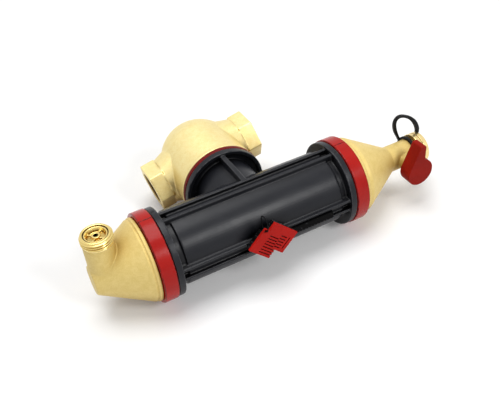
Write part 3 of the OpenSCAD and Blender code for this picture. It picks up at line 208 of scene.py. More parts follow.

# one entry for each finish: colours are linear, sizes in metres
# in a finish, the colour for corners and hollows is painted shade, laid by ambient occlusion
finishes = {
    # body plastic: its pale edge colour is a painted highlight where light catches the raised
    # edges, and its hollow colour is painted shade
    "body_plastic": {"skin": "mouldSkin", "skinSize": 0.0004, "patchSize": 0.03,
                     "base": (0.0082, 0.009, 0.0122), "patch": (0.0124, 0.0132, 0.017),
                     "edgeWearAndShading": (0.16, 0.16, 0.17), "edgeWearAndShadingShare": 0.65, "edgeWearAndShadingFrom": 0.512, "edgeWearAndShadingTo": 0.57,
                     "paintedShade": (0.001, 0.001, 0.0015), "paintedShadeSize": 0.012,
                     "paintedShadeSpan": (0.35, 0.95), "rough": (0.29, 0.38), "bump": (0.2, 0.00006),
                     "spec": 0.22},
    "inner_plastic": {"skin": "mouldSkin", "skinSize": 0.0004, "patchSize": 0.02,
                      "base": (0.03, 0.03, 0.033), "patch": (0.042, 0.042, 0.045),
                      "edgeWearAndShading": (0.08, 0.08, 0.08), "edgeWearAndShadingShare": 0.3, "rough": (0.4, 0.55),
                      "bump": (0.25, 0.00006), "spec": 0.2},
    "cast_brass": {"skin": "blastGrain", "skinSize": 0.0007, "patchSize": 0.004,
                   "base": (0.82, 0.635, 0.245), "patch": (0.74, 0.555, 0.18),
                   "edgeWearAndShading": (0.94, 0.84, 0.56), "edgeWearAndShadingShare": 0.8, "paintedShade": (0.4, 0.25, 0.05),
                   "paintedShadeSize": 0.03, "paintedShadeSpan": (0.3, 0.95), "rough": (0.4, 0.56),
                   "bump": (0.55, 0.00015), "metal": 0.18, "spec": 0.22},
    # painted light: a paler, lit copy of the cast brass for the head casting
    "lit_head_brass": {"skin": "blastGrain", "skinSize": 0.0007, "patchSize": 0.004,
                   "base": (0.9, 0.77, 0.38), "patch": (0.84, 0.68, 0.29),
                   "edgeWearAndShading": (0.95, 0.86, 0.58), "edgeWearAndShadingShare": 0.8, "paintedShade": (0.34, 0.2, 0.03),
                   "paintedShadeSize": 0.035, "paintedShadeSpan": (0.3, 0.97), "rough": (0.34, 0.48),
                   "bump": (0.55, 0.00015), "metal": 0.62, "spec": 0.4},
    "turned_brass": {"skin": "turnedLines", "skinSize": 0.00022, "axis": (1, 0, 0),
                     "base": (0.88, 0.71, 0.36), "patch": (0.8, 0.61, 0.26),
                     "edgeWearAndShading": (0.95, 0.83, 0.52), "edgeWearAndShadingShare": 0.5, "paintedShade": (0.32, 0.19, 0.04),
                     "paintedShadeSize": 0.004, "paintedShadeSpan": (0.25, 0.9), "rough": (0.2, 0.34),
                     "bump": (0.12, 0.00004), "metal": 1.0},
    # painted shade: a dark copy of the brass for the insides of bores and the nozzle groove
    "bore_shade_brass": {"skin": "turnedLines", "skinSize": 0.00022, "axis": (1, 0, 0),
                   "base": (0.24, 0.155, 0.055), "patch": (0.17, 0.105, 0.035),
                   "edgeWearAndShading": (0.45, 0.33, 0.14), "edgeWearAndShadingShare": 0.4, "rough": (0.4, 0.55),
                   "bump": (0.12, 0.00004), "metal": 0.8},
    "nozzle_brass": {"skin": "turnedLines", "skinSize": 0.00022, "axis": (0, 0, 1),
                     "base": (0.84, 0.68, 0.29), "patch": (0.74, 0.54, 0.16),
                     "edgeWearAndShading": (0.96, 0.82, 0.45), "edgeWearAndShadingShare": 0.6, "paintedShade": (0.3, 0.17, 0.025),
                     "paintedShadeSize": 0.005, "paintedShadeSpan": (0.25, 0.9), "rough": (0.16, 0.28),
                     "bump": (0.12, 0.00004), "metal": 1.0},
    # red rings: the dark edge colour is a painted shadow line along the ring's edges
    "ring_red": {"skin": "mouldSkin", "skinSize": 0.0009, "patchSize": 0.03,
                 "base": (0.42, 0.0105, 0.007), "patch": (0.35, 0.006, 0.004),
                 "edgeWearAndShading": (0.05, 0.002, 0.002), "edgeWearAndShadingShare": 0.85, "edgeWearAndShadingFrom": 0.505, "edgeWearAndShadingTo": 0.535,
                 "rough": (0.19, 0.28), "bump": (0.05, 0.00005), "spec": 0.17},
    "lock_red": {"skin": "mouldSkin", "skinSize": 0.0005, "patchSize": 0.02,
                 "base": (0.17, 0.006, 0.005), "patch": (0.13, 0.004, 0.004),
                 "edgeWearAndShading": (0.32, 0.03, 0.03), "edgeWearAndShadingShare": 0.35, "rough": (0.32, 0.44),
                 "bump": (0.12, 0.00005), "spec": 0.12},
    "handle_red": {"skin": "mouldSkin", "skinSize": 0.0004, "patchSize": 0.015,
                   "base": (0.29, 0.01, 0.005), "patch": (0.24, 0.009, 0.005),
                   "edgeWearAndShading": (0.42, 0.07, 0.05), "edgeWearAndShadingShare": 0.4, "rough": (0.38, 0.5),
                   "bump": (0.2, 0.00006), "spec": 0.05},
    "tag_red": {"skin": "mouldSkin", "skinSize": 0.0003, "patchSize": 0.01,
                "base": (0.45, 0.01, 0.006), "patch": (0.38, 0.007, 0.004),
                "edgeWearAndShading": (0.5, 0.05, 0.04), "edgeWearAndShadingShare": 0.3, "paintedShade": (0.07, 0.001, 0.001),
                "paintedShadeSize": 0.0015, "paintedShadeSpan": (0.35, 0.85), "rough": (0.36, 0.47),
                "bump": (0.15, 0.00005), "spec": 0.07},
    "cartridge_black": {"skin": "mouldSkin", "skinSize": 0.0004, "patchSize": 0.012,
                        "base": (0.0012, 0.0012, 0.0014), "patch": (0.002, 0.002, 0.0023),
                        "edgeWearAndShading": (0.06, 0.06, 0.065), "edgeWearAndShadingShare": 0.7, "rough": (0.4, 0.52),
                        "bump": (0.2, 0.00005), "spec": 0.03},
    "loop_wire": {"skin": "mouldSkin", "skinSize": 0.0003, "patchSize": 0.004,
                  "base": (0.003, 0.003, 0.0035), "patch": (0.006, 0.006, 0.0065),
                  "edgeWearAndShading": (0.02, 0.02, 0.02), "edgeWearAndShadingShare": 0.3, "rough": (0.4, 0.52),
                  "bump": (0.12, 0.00003), "spec": 0.05},
    "strap_rubber": {"skin": "mouldSkin", "skinSize": 0.0005, "patchSize": 0.008,
                     "base": (0.006, 0.006, 0.0065), "patch": (0.01, 0.01, 0.0105),
                     "edgeWearAndShading": (0.04, 0.04, 0.04), "edgeWearAndShadingShare": 0.3, "rough": (0.42, 0.55),
                     "bump": (0.2, 0.00005), "spec": 0.12},
    "seal_rubber": {"skin": "mouldSkin", "skinSize": 0.0004, "patchSize": 0.006,
                    "base": (0.014, 0.014, 0.014), "patch": (0.022, 0.022, 0.022),
                    "edgeWearAndShading": (0.05, 0.05, 0.05), "edgeWearAndShadingShare": 0.2, "rough": (0.5, 0.65),
                    "bump": (0.2, 0.00005), "spec": 0.2},
    "steel": {"skin": "turnedLines", "skinSize": 0.0002, "axis": (1, 0, 0),
              "base": (0.62, 0.62, 0.64), "patch": (0.54, 0.54, 0.56), "edgeWearAndShading": (0.72, 0.72, 0.74),
              "edgeWearAndShadingShare": 0.4, "rough": (0.22, 0.36), "bump": (0.1, 0.00003), "metal": 1.0},
    "pin_steel": {"skin": "blastGrain", "skinSize": 0.0003, "patchSize": 0.002,
                  "base": (0.01, 0.01, 0.011), "patch": (0.02, 0.02, 0.021),
                  "edgeWearAndShading": (0.06, 0.06, 0.06), "edgeWearAndShadingShare": 0.3, "rough": (0.35, 0.5),
                  "bump": (0.1, 0.00003), "metal": 1.0},
    "magnet": {"skin": "blastGrain", "skinSize": 0.0003, "patchSize": 0.004,
               "base": (0.46, 0.46, 0.48), "patch": (0.38, 0.38, 0.4), "edgeWearAndShading": (0.6, 0.6, 0.6),
               "edgeWearAndShadingShare": 0.4, "rough": (0.25, 0.38), "bump": (0.1, 0.00003), "metal": 1.0},
    "white_plastic": {"skin": "mouldSkin", "skinSize": 0.0005, "patchSize": 0.01,
                      "base": (0.78, 0.77, 0.74), "patch": (0.7, 0.69, 0.66),
                      "edgeWearAndShading": (0.85, 0.84, 0.82), "edgeWearAndShadingShare": 0.2, "rough": (0.4, 0.5),
                      "bump": (0.15, 0.00005)},
}


def makeFinish(name, look):
    usual = {"metal": 0.0, "spec": 0.5, "edgeWearAndShadingFrom": 0.52, "edgeWearAndShadingTo": 0.6, "smearSpan": (0.3, 0.7)}
    look = {**usual, **look}
    material = bpy.data.materials.new(name)
    material.use_nodes = True
    tree = material.node_tree
    shader = tree.nodes["Principled BSDF"]
    shader.inputs["Metallic"].default_value = look["metal"]
    shader.inputs["Specular IOR Level"].default_value = look["spec"]
    inputs, toneName = skins[look["skin"]]
    skin = placeGroup(tree, look["skin"], -900, 200, {k: look[v] for k, v in inputs.items()})
    tint = mixOf(tree, skin[toneName], (*look["base"], 1), (*look["patch"], 1), -560, 300)
    # edge colour: wear on most finishes, a painted highlight on the body plastic, a painted shadow
    # line on the red rings
    edgeWearAndShading = placeGroup(tree, "edgeWearAndShadingMask", -900, 0, {"From": look["edgeWearAndShadingFrom"], "To": look["edgeWearAndShadingTo"]})
    share = mathOf(tree, "MULTIPLY", -560, 60, edgeWearAndShading["Mask"], look["edgeWearAndShadingShare"])
    colour = mixOf(tree, share, tint, (*look["edgeWearAndShading"], 1), -300, 300)
    if "paintedShade" in look:  # painted shade: darker in corners and hollows, where shade falls
        around = addNode(tree, "ShaderNodeAmbientOcclusion", -560, 560, samples=8)
        around.inputs["Distance"].default_value = look["paintedShadeSize"]
        shadeShare = mapRange(tree, around.outputs["AO"], look["paintedShadeSpan"], -300, 560, (1.0, 0.0),
                       "LINEAR")
        colour = mixOf(tree, shadeShare, colour, (*look["paintedShade"], 1), -60, 300)
    smears = placeGroup(tree, "smears", -900, -200, {})
    gloss = mapRange(tree, smears["Mask"], look["smearSpan"], -560, -200, look["rough"], "LINEAR")
    bump = addNode(tree, "ShaderNodeBump", -300, -300)
    bump.inputs["Strength"].default_value = look["bump"][0]
    bump.inputs["Distance"].default_value = look["bump"][1]
    feed(tree, bump.inputs["Height"], skin["Height"])
    feed(tree, shader.inputs["Base Color"], colour)
    feed(tree, shader.inputs["Roughness"], gloss)
    feed(tree, shader.inputs["Normal"], bump.outputs[0])
    return material


materials = {name: makeFinish(name, look) for name, look in finishes.items()}
print("finishes:", len(materials))


# mesh helpers
weld = {"drawn": 1e-7, "cad": 2e-6, "flat": 1e-7}  # in metres


def settle(name, mesh, finish, body, replaced=(), sharpAt=40.0):
    obj = bpy.data.objects.new(name, mesh)
    scene.collection.objects.link(obj)
    mesh.materials.clear()
    mesh.materials.append(materials[finish])
    mesh.polygons.foreach_set("use_smooth", [True] * len(mesh.polygons))
    mesh.set_sharp_from_angle(angle=math.radians(sharpAt))
    if body:
        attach(obj, body)
    if replaced:
        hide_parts(*replaced)
    print(" piece", name, len(mesh.polygons), "faces")
    return obj


def meshOf(name, verts, faces, place=Matrix()):
    mesh = bpy.data.meshes.new(name)
    mesh.from_pydata([tuple(v) for v in verts], [], faces)
    mesh.transform(tubeToRow @ place)
    work = bmesh.new()
    work.from_mesh(mesh)
    bmesh.ops.remove_doubles(work, verts=work.verts, dist=weld["drawn"])
    bmesh.ops.recalc_face_normals(work, faces=work.faces)
    work.to_mesh(mesh)
    work.free()
    return mesh


corner = {"hold": 0.06, "holdShare": 0.02, "reachShare": 0.47, "straight": math.radians(176)}


def roundCorners(points, radii, steps=4):
    # each corner becomes an arc, with a holding point on both sides so that flats shade flat
    out = []
    count = len(points)
    for k, point in enumerate(points):
        radius = radii[k] if isinstance(radii, (list, tuple)) else radii
        here = Vector(point)
        back = Vector(points[k - 1]) - here
        ahead = Vector(points[(k + 1) % count]) - here
        if radius <= 0 or min(back.length, ahead.length) < tiny:
            out.append(tuple(here))
            continue
        angle = back.angle(ahead)
        if angle > corner["straight"]:
            out.append(tuple(here))
            continue
        reach = min(radius / math.tan(angle / 2), corner["reachShare"] * back.length,
                    corner["reachShare"] * ahead.length)
        radius = reach * math.tan(angle / 2)
        inward = (back.normalized() + ahead.normalized()).normalized()
        middle = here + inward * radius / math.sin(angle / 2)
        first = here + back.normalized() * reach
        last = here + ahead.normalized() * reach
        spare = min(corner["hold"], corner["holdShare"] * back.length,
                    corner["holdShare"] * ahead.length)
        out.append(tuple(first + back.normalized() * spare))
        for s in range(steps + 1):
            turn = (first - middle).lerp(last - middle, s / steps)
            out.append(tuple(middle + turn.normalized() * radius))
        out.append(tuple(last + ahead.normalized() * spare))
    return out


def loft(rows, closed=False):
    # quads between loops of points: closed into a ring, or with a cap on each end
    size, count = len(rows[0]), len(rows)
    faces = []
    for k in range(count if closed else count - 1):
        a, b = k * size, (k + 1) % count * size
        for s in range(size):
            t = (s + 1) % size
            faces.append((a + s, b + s, b + t, a + t))
    if not closed:
        faces += [tuple(range(size)), tuple(range((count - 1) * size, count * size))[::-1]]
    return [v for row in rows for v in row], faces


def turnLoop(loop, angle):
    return [(r * math.cos(angle), r * math.sin(angle), z) for r, z in loop]


def revolve(sectionAt, steps):
    # sectionAt(angle) gives a closed loop of (radius, height) about local Z
    angles = [math.radians(360.0 * k / steps) for k in range(steps)]
    return loft([turnLoop(sectionAt(angle), angle) for angle in angles], True)


def turnedPiece(name, sectionAt, steps, place, finish, body, replaced=(), sharpAt=40.0):
    mesh = meshOf(name, *revolve(sectionAt, steps), place)
    settle(name, mesh, finish, body, replaced, sharpAt)


def joinParts(*parts):
    verts, faces = [], []
    for partVerts, partFaces in parts:
        base = len(verts)
        verts += partVerts
        faces += [tuple(base + i for i in face) for face in partFaces]
    return verts, faces


def weldedCopy(node):
    mesh = nodes[node].data.copy()
    if "custom_normal" in mesh.attributes:
        mesh.attributes.remove(mesh.attributes["custom_normal"])
    work = bmesh.new()
    work.from_mesh(mesh)
    bmesh.ops.remove_doubles(work, verts=work.verts, dist=weld["cad"])
    bmesh.ops.dissolve_degenerate(work, edges=work.edges, dist=weld["flat"])
    bmesh.ops.recalc_face_normals(work, faces=work.faces)
    work.to_mesh(mesh)
    work.free()
    return mesh


def plug(radius, z0, z1, place, steps=96):
    # a closed cylinder that cuts a form back
    section = [(axisR, z0), (radius, z0), (radius, z1), (axisR, z1)]
    mesh = meshOf("cutter", *revolve(lambda angle: section, steps), place)
    obj = bpy.data.objects.new("cutter", mesh)
    scene.collection.objects.link(obj)
    return obj


def softCopy(node, values, cutters=(), shape=None):
    # the node's own solid with cast or moulded edges: voxels in mm, smoothed, thinned out
    work = bpy.data.objects.new("work", weldedCopy(node))
    scene.collection.objects.link(work)
    for cutter in cutters:
        cut = work.modifiers.new("cut", "BOOLEAN")
        cut.operation = "DIFFERENCE"
        cut.solver = "EXACT"
        cut.object = cutter
    grid = work.modifiers.new("grid", "REMESH")
    grid.mode = "VOXEL"
    grid.voxel_size = values["voxel"] * mm
    soften = work.modifiers.new("soften", "SMOOTH")
    soften.factor = 0.5
    soften.iterations = values["rounds"]
    thin = work.modifiers.new("thin", "DECIMATE")
    thin.ratio = values["keep"]
    bpy.context.view_layer.update()
    made = work.evaluated_get(bpy.context.evaluated_depsgraph_get())
    baked = bpy.data.meshes.new_from_object(made)
    for spent in (work, *cutters):
        spentMesh = spent.data
        bpy.data.objects.remove(spent)
        bpy.data.meshes.remove(spentMesh)
    baked.name = node
    if shape:
        shape(baked)
    return baked


def softPiece(name, node, values, finish, body, cutters=(), shape=None):
    mesh = softCopy(node, values, cutters, shape)
    settle(name, mesh, finish, body, (node,), sharpAt=60)


def dress(finish, *names):
    for name in names:
        if not nodes[name].material_slots:
            nodes[name].data.materials.append(None)
        for slot in nodes[name].material_slots:
            slot.link = "OBJECT"
            slot.material = materials[finish]


# plastic tee body
teeBody = {"voxel": 0.5, "rounds": 4, "keep": 0.3}
softPiece("tee_body", "main_body", teeBody, "body_plastic", "housing")

# brass castings; the offsets of a turned edge are (radius, height) from its corner
castings = {"voxel": 0.45, "rounds": 5, "keep": 0.3}
nozzle = {"x": -113.3, "cutZ": 30.9, "top": 38.5, "cutter": (14.0, 50.0), "boreR": 8.8,
          "crestR": 11.456, "rootR": 10.4, "pitch": 1.814, "thread": (0.9, 0.25),
          "reliefR": 10.6, "relief": (-0.3, 0.7), "fit": 0.02,
          "crown": ((-0.22, -0.06), (-0.45, 0.0)),
          "mouth": ((0.35, 0.0), (0.1, -0.1), (0.0, -0.35))}
port = {"y": 84.0, "turn": 11.8, "reach": 47.3, "depth": 13.0, "crestR": 12.059, "rootR": 13.15,
        "pitch": 1.814, "thread": (0.3, 0.5), "fades": (1.5, 1.0), "cutter": (0.1, 3),
        "foot": ((0.5, -0.2), (0.0, 0.0)), "mouth": ((0.15, -0.3), (0.5, -0.45))}
spigot = {"ends": (26.0, 44.8), "innerR": 20.4, "ease": 0.12}
nozzlePlace = Matrix.Translation((nozzle["x"], 0, 0))
headPlace = alongY @ Matrix.Rotation(math.radians(-port["turn"]), 4, "Z")
portPlaces = [headPlace @ Matrix.Translation((0, 0, port["y"]))
              @ Matrix.Rotation(math.radians(way), 4, "Y") for way in (90, -90)]
portFoot = port["reach"] - port["depth"]


def easeSpigot(mesh):  # keeps the turning spigot clear of its bore
    low, high = spigot["ends"]
    for vertex in mesh.vertices:
        spot = rowToTube @ vertex.co
        wide = math.hypot(spot.x, spot.z)
        if low < spot.y < high and wide > spigot["innerR"]:
            share = 1 - spigot["ease"] / wide
            vertex.co = tubeToRow @ Vector((spot.x * share, spot.y, spot.z * share))


nozzleCut = plug(nozzle["cutter"][0], nozzle["cutZ"], nozzle["cutter"][1], nozzlePlace)
softPiece("vent_casting", "vent_cap", castings, "cast_brass", "housing", [nozzleCut])
softPiece("drain_casting", "drain_cone", castings, "cast_brass", "housing")
portCuts = [plug(port["rootR"] + port["cutter"][0], portFoot, port["reach"] + port["cutter"][1],
                 place) for place in portPlaces]
softPiece("head_casting", "connection_head", castings, "lit_head_brass", "head",
          portCuts, easeSpigot)


# pipe threads
def ridge(share):
    share -= math.floor(share)
    slope = 1 - abs(2 * share - 1)  # a V with rounded crest and root
    return slope * slope * (3 - 2 * slope)


def fade(value, low, high):
    share = min(1.0, max(0.0, (value - low) / (high - low)))
    return share * share * (3 - 2 * share)


def threadRun(form, z0, z1, angle, fadeIn=1.0, fadeOut=1.2, perTurn=14):
    # the threaded side of a section, from z0 up to z1
    rows = max(2, int((z1 - z0) / form["pitch"] * perTurn))
    run = []
    for k in range(rows + 1):
        z = z0 + (z1 - z0) * k / rows
        high = (ridge(z / form["pitch"] - angle / (2 * math.pi))
                * fade(z, z0, z0 + fadeIn) * fade(-z, -z1, -z1 + fadeOut))
        run.append((form["rootR"] + (form["crestR"] - form["rootR"]) * high, z))
    return run


def edgeAt(r, z, offsets):
    return [(r + outward, z + upward) for outward, upward in offsets]


def nozzleSection(angle):
    n = nozzle
    low, high = n["cutZ"] + n["relief"][0], n["cutZ"] + n["relief"][1]
    run = threadRun(n, n["cutZ"] + n["thread"][0], n["top"] - n["thread"][1], angle)
    return ([(n["boreR"] - n["fit"], low), (n["reliefR"], low), (n["reliefR"], high)] + run
            + edgeAt(n["rootR"], n["top"], n["crown"]) + edgeAt(n["boreR"], n["top"], n["mouth"]))


def portSection(angle):
    p = port
    run = threadRun(p, portFoot + p["thread"][0], p["reach"] - p["thread"][1], angle, *p["fades"])
    return (edgeAt(p["rootR"], portFoot, p["foot"]) + run
            + edgeAt(p["rootR"], p["reach"], p["mouth"]))


roundSteps = 144
turnedPiece("nozzle_thread", nozzleSection, roundSteps, nozzlePlace, "nozzle_brass", "housing")
for side, place in zip(("drain_side", "vent_side"), portPlaces):
    turnedPiece("port_thread_" + side, portSection, roundSteps, place, "bore_shade_brass", "head")

tail = {"plugX": 144.61, "plugR": 8.58, "boreR": 5.0, "flangeX": (147.1, 148.9), "flangeR": 10.5,
        "endX": 154.3, "crestR": 10.478, "rootR": 9.35, "pitch": 1.814, "thread": (0.7, 0.3),
        "plugEdge": ((-0.3, 0.0), (0.0, 0.3)),
        "flangeLow": ((-0.3, 0.0), (-0.06, 0.08), (0.0, 0.3)),
        "flangeHigh": ((0.0, -0.3), (-0.06, -0.08), (-0.3, 0.0)),
        "neck": ((0.1, 0.0), (0.0, 0.1)), "crown": ((-0.3, -0.05), (-0.6, 0.0)),
        "mouth": ((0.3, 0.0), (0.0, -0.3))}


def tailSection(angle):
    t = tail
    low, high = t["flangeX"]
    run = threadRun(t, high + t["thread"][0], t["endX"] - t["thread"][1], angle)
    return ([(t["boreR"], t["plugX"])] + edgeAt(t["plugR"], t["plugX"], t["plugEdge"])
            + [(t["plugR"], low)] + edgeAt(t["flangeR"], low, t["flangeLow"])
            + edgeAt(t["flangeR"], high, t["flangeHigh"]) + edgeAt(t["rootR"], high, t["neck"])
            + run + edgeAt(t["rootR"], t["endX"], t["crown"])
            + edgeAt(t["boreR"], t["endX"], t["mouth"]))


turnedPiece("valve_tail_turned", tailSection, roundSteps, alongX, "turned_brass", "housing",
            ("valve_tail",))
print("castings and threads done")

# nozzle insert
insert = {"voxel": 0.16, "rounds": 4, "keep": 0.6}
softPiece("nozzle_spokes", "nozzle_insert", insert, "nozzle_brass", "housing")

# painted shadow: a dark lining sheet in the groove between the insert and the nozzle
groove = {"width": 0.6, "floor": 36.1, "rim": 37.7, "lining": 0.05, "off": 0.02}


def grooveShadowSection(angle):
    outer = nozzle["boreR"] - groove["off"]
    inner = nozzle["boreR"] - groove["width"] + groove["off"]
    floor, rim, lining = groove["floor"] + groove["off"], groove["rim"], groove["lining"]
    return [(outer, rim), (outer, floor), (inner, floor), (inner, rim), (inner + lining, rim),
            (inner + lining, floor + lining), (outer - lining, floor + lining),
            (outer - lining, rim)]


turnedPiece("nozzle_groove_shadow", grooveShadowSection, roundSteps, nozzlePlace, "bore_shade_brass", "housing")

# clamp rings
clampRing = {"innerR": 28.3, "lipR": 31.3, "outerR": 34.0, "start": 73.5, "end": 84.0,
             "mid": (75.6, 81.9), "seam": 0.25, "edges": [0.3, 0.75, 0.75, 0.3, 0.2, 0.1, 0.1, 0.2],
             "edgeSteps": 5, "steps": 110, "endInset": 0.14, "endTurn": 0.006}
ringTab = {"width": 8.0, "thick": 2.2, "top": 31.2, "end": 69.4, "len": 5.6, "pinX": 71.25,
           "pinR": 1.25, "steps": 32}


def insetLoop(loop, depth):
    out = []
    for k, point in enumerate(loop):
        along = (Vector(loop[(k + 1) % len(loop)]) - Vector(loop[k - 1])).normalized()
        out.append((point[0] - along[1] * depth, point[1] + along[0] * depth))
    return out


def clampHalf(front):
    c = clampRing
    inner, lip, outer, start, end = (c[k] for k in ("innerR", "lipR", "outerR", "start", "end"))
    low, high = c["mid"]
    corners = [(inner, start), (outer, start), (outer, end), (inner, end), (inner, high),
               (lip, high), (lip, low), (inner, low)]
    loop = roundCorners(corners, c["edges"], c["edgeSteps"])
    small = insetLoop(loop, c["endInset"])
    gap = math.degrees(math.asin(c["seam"] / 2 / outer))
    begin = (180 if front else 0) + gap
    first, last = math.radians(begin), math.radians(begin + (180 - 2 * gap))
    step = c["endTurn"]
    spots = [first + 2 * step + (last - first - 4 * step) * k / c["steps"]
             for k in range(c["steps"] + 1)]
    rows = [turnLoop(loop, angle) for angle in (first + step, *spots, last - step)]
    return loft([turnLoop(small, first), *rows, turnLoop(small, last)])


def tabPlate():
    # the tongue that the lock pin goes through, about the pin's own axis (local Z)
    t = ringTab
    low, high = t["top"] - t["thick"], t["top"]
    x0, x1 = t["end"] - t["pinX"], t["end"] + t["len"] - t["pinX"]
    count = t["steps"]
    hole, rim = [], []
    for k in range(count):
        angle = 2 * math.pi * k / count
        c, s = math.cos(angle), math.sin(angle)
        grow = min((x1 if c > 0 else -x0) / max(tiny, abs(c)), t["width"] / 2 / max(tiny, abs(s)))
        hole.append((t["pinR"] * c, t["pinR"] * s))
        rim.append((grow * c, grow * s))
    levels = ((hole, low), (rim, low), (rim, high), (hole, high))
    return loft([[(x, y, z) for x, y in outline] for outline, z in levels], True)


def ringHalf(name, node, side, front, tabAngle):
    half, plate = clampHalf(front), tabPlate()
    turn = Matrix.Rotation(math.radians(tabAngle - 90), 4, "X")
    pinPlace = turn @ Matrix.Translation((ringTab["pinX"], 0, 0))
    # the halves meet at the top and bottom
    verts, faces = joinParts(([alongX @ Vector(v) for v in half[0]], half[1]),
                             ([pinPlace @ Vector(v) for v in plate[0]], plate[1]))
    mesh = meshOf(name, verts, faces, side)
    settle(name, mesh, "ring_red", "housing", (node,), sharpAt=50)


ringHalf("vent_ring_near", "vent_ring_front", ventEnd, True, 260)
ringHalf("vent_ring_far", "vent_ring_rear", ventEnd, False, 80)
ringHalf("drain_ring_near", "drain_ring_front", Matrix(), True, 100)
ringHalf("drain_ring_far", "drain_ring_rear", Matrix(), False, 280)

# lock ring of the pipe head
lockRing = {"holeR": 27.3, "recess": (29.6, 46.6), "outerR": 33.2, "face": (44.6, 47.8),
            "skirt": (30.5, 31.7, 42.8), "steps": 200,
            "edges": [0.2, 0.1, 0.2, 0.2, 0.1, 0.6, 0.6, 0.4, 0.3, 0.2]}


def lockSection():
    hole, outer = lockRing["holeR"], lockRing["outerR"]
    recessR, recessY = lockRing["recess"]
    low, high = lockRing["face"]
    skirtIn, skirtOut, skirtEnd = lockRing["skirt"]
    corners = [(recessR, low), (skirtIn, low), (skirtIn, skirtEnd), (skirtOut, skirtEnd),
               (skirtOut, low), (outer, low), (outer, high), (hole, high), (hole, recessY),
               (recessR, recessY)]
    return roundCorners(corners, lockRing["edges"])


lockLoop = lockSection()
turnedPiece("lock_ring", lambda angle: lockLoop, lockRing["steps"], alongY, "lock_red", "housing",
            ("head_lock_ring",), sharpAt=50)
print("rings done")

# drain lever and cap
lever = {"voxel": 0.25, "rounds": 7, "keep": 0.4}
softPiece("drain_lever_grip", "drain_handle", lever, "handle_red", "drain_lever")

drainCap = {"x": (149.3, 157.3), "outerR": 12.978, "innerR": 10.678, "floorX": 155.7,
            "groove": (152.5, 153.3, 12.378), "stud": (2.2, 159.9), "head": (3.6, 161.1),
            "edges": [0.25, 0.35, 0.2, 0.1, 0.1, 0.2, 0.9, 0.2, 0.1, 0.2, 0.35, 0, 0, 0.3],
            "edgeSteps": 5, "steps": 160}


def capSection():
    outer, inner, floor = drainCap["outerR"], drainCap["innerR"], drainCap["floorX"]
    near, far = drainCap["x"]
    grooveNear, grooveFar, grooveR = drainCap["groove"]
    (studR, studEnd), (headR, headEnd) = drainCap["stud"], drainCap["head"]
    corners = [(inner, near), (outer, near), (outer, grooveNear), (grooveR, grooveNear),
               (grooveR, grooveFar), (outer, grooveFar), (outer, far), (studR, far),
               (studR, studEnd), (headR, studEnd), (headR, headEnd), (axisR, headEnd),
               (axisR, floor), (inner, floor)]
    return roundCorners(corners, drainCap["edges"], drainCap["edgeSteps"])


capLoop = capSection()
turnedPiece("cap_turned", lambda angle: capLoop, drainCap["steps"], alongX, "turned_brass",
            "drain_cap", ("drain_cap",))

# strap from the neck to the cap; the spans are shares of the loop's length
strap = {"neckX": 145.3, "neckInner": 10.8, "neckSpot": (11.3, 4.996), "capX": 158.6,
         "eye": (2.5, 4.5), "tab": (3.5, 13.2, 31.6), "capReach": 12.2, "width": 3.0, "thick": 2.0,
         "rise": 30.0, "swing": 20.8, "pull": (1.49, 0.97), "edge": 0.5, "innerEdge": 0.2,
         "bandWidth": 2.4, "bulge": (0.6, 1.3), "bulgeStart": ((0.02, 0.12), (0.15, 0.35)),
         "bulgeEnd": ((0.55, 0.8), (0.94, 1.0)), "bulgeLeft": 0.5, "steps": 90, "tabSteps": 24,
         "bandSteps": 96, "eyeSteps": 64, "bendX": (147.2, 157.4)}


def strapRing(inner, outer, half, x, steps):  # the band round the neck and the eye on the stud
    edges = [strap["innerEdge"], strap["edge"], strap["edge"], strap["innerEdge"]]
    loop = roundCorners([(inner, -half), (outer, -half), (outer, half), (inner, half)], edges)
    verts, faces = revolve(lambda angle: loop, steps)
    return [alongX @ (Vector(v) + Vector((0, 0, x))) for v in verts], faces


def strapSection(grow=0.0):
    t, w = strap["thick"] / 2, strap["width"] / 2
    loop = roundCorners([(-t, -w), (t, -w), (t, w), (-t, w)], strap["edge"])
    return [(deep + grow * (deep + t) / (2 * t), wide) for deep, wide in loop]


def strapTongue():
    start, end, lean = strap["tab"]
    out = Vector((0, math.sin(math.radians(lean)), math.cos(math.radians(lean))))
    side = Vector((0, out.z, -out.y))
    rows = []
    for k in range(strap["tabSteps"] + 1):
        reach = start + (end - start) * k / strap["tabSteps"]
        spot = Vector((strap["capX"], 0, 0)) + out * reach
        rows.append([spot + Vector((deep, 0, 0)) + side * wide for deep, wide in strapSection()])
    return loft(rows)


def legGrowth(t):  # the two legs are thicker than the bend
    (upFirst, downFirst), (upLast, downLast) = strap["bulgeStart"], strap["bulgeEnd"]
    first = fade(t, *upFirst) * (1 - fade(t, *downFirst))
    last = fade(t, *upLast) * (1 - strap["bulgeLeft"] * fade(t, *downLast))
    return strap["bulge"][0] * first + strap["bulge"][1] * last


def strapLoop():
    lean = math.radians(strap["tab"][2])
    neckX, capX, rise = strap["neckX"], strap["capX"], strap["rise"]
    backY, neckZ = strap["neckSpot"]
    capY, capZ = strap["capReach"] * math.sin(lean), strap["capReach"] * math.cos(lean)
    a, d = Vector((neckX, neckZ)), Vector((capX, capZ))
    b = Vector((neckX - strap["swing"], strap["pull"][0] * rise))
    c = Vector((capX, strap["pull"][1] * rise))
    rows = []
    for k in range(strap["steps"] + 1):
        t = k / strap["steps"]
        u = 1 - t
        spot = u ** 3 * a + 3 * t * u ** 2 * b + 3 * t * t * u * c + t ** 3 * d
        way = (3 * u ** 2 * (b - a) + 6 * t * u * (c - b) + 3 * t * t * (d - c)).normalized()
        y = backY + t * (capY - backY)
        rows.append([Vector((spot.x - way.y * deep, y + wide, spot.y + way.x * deep))
                     for deep, wide in strapSection(legGrowth(t))])
    return loft(rows)


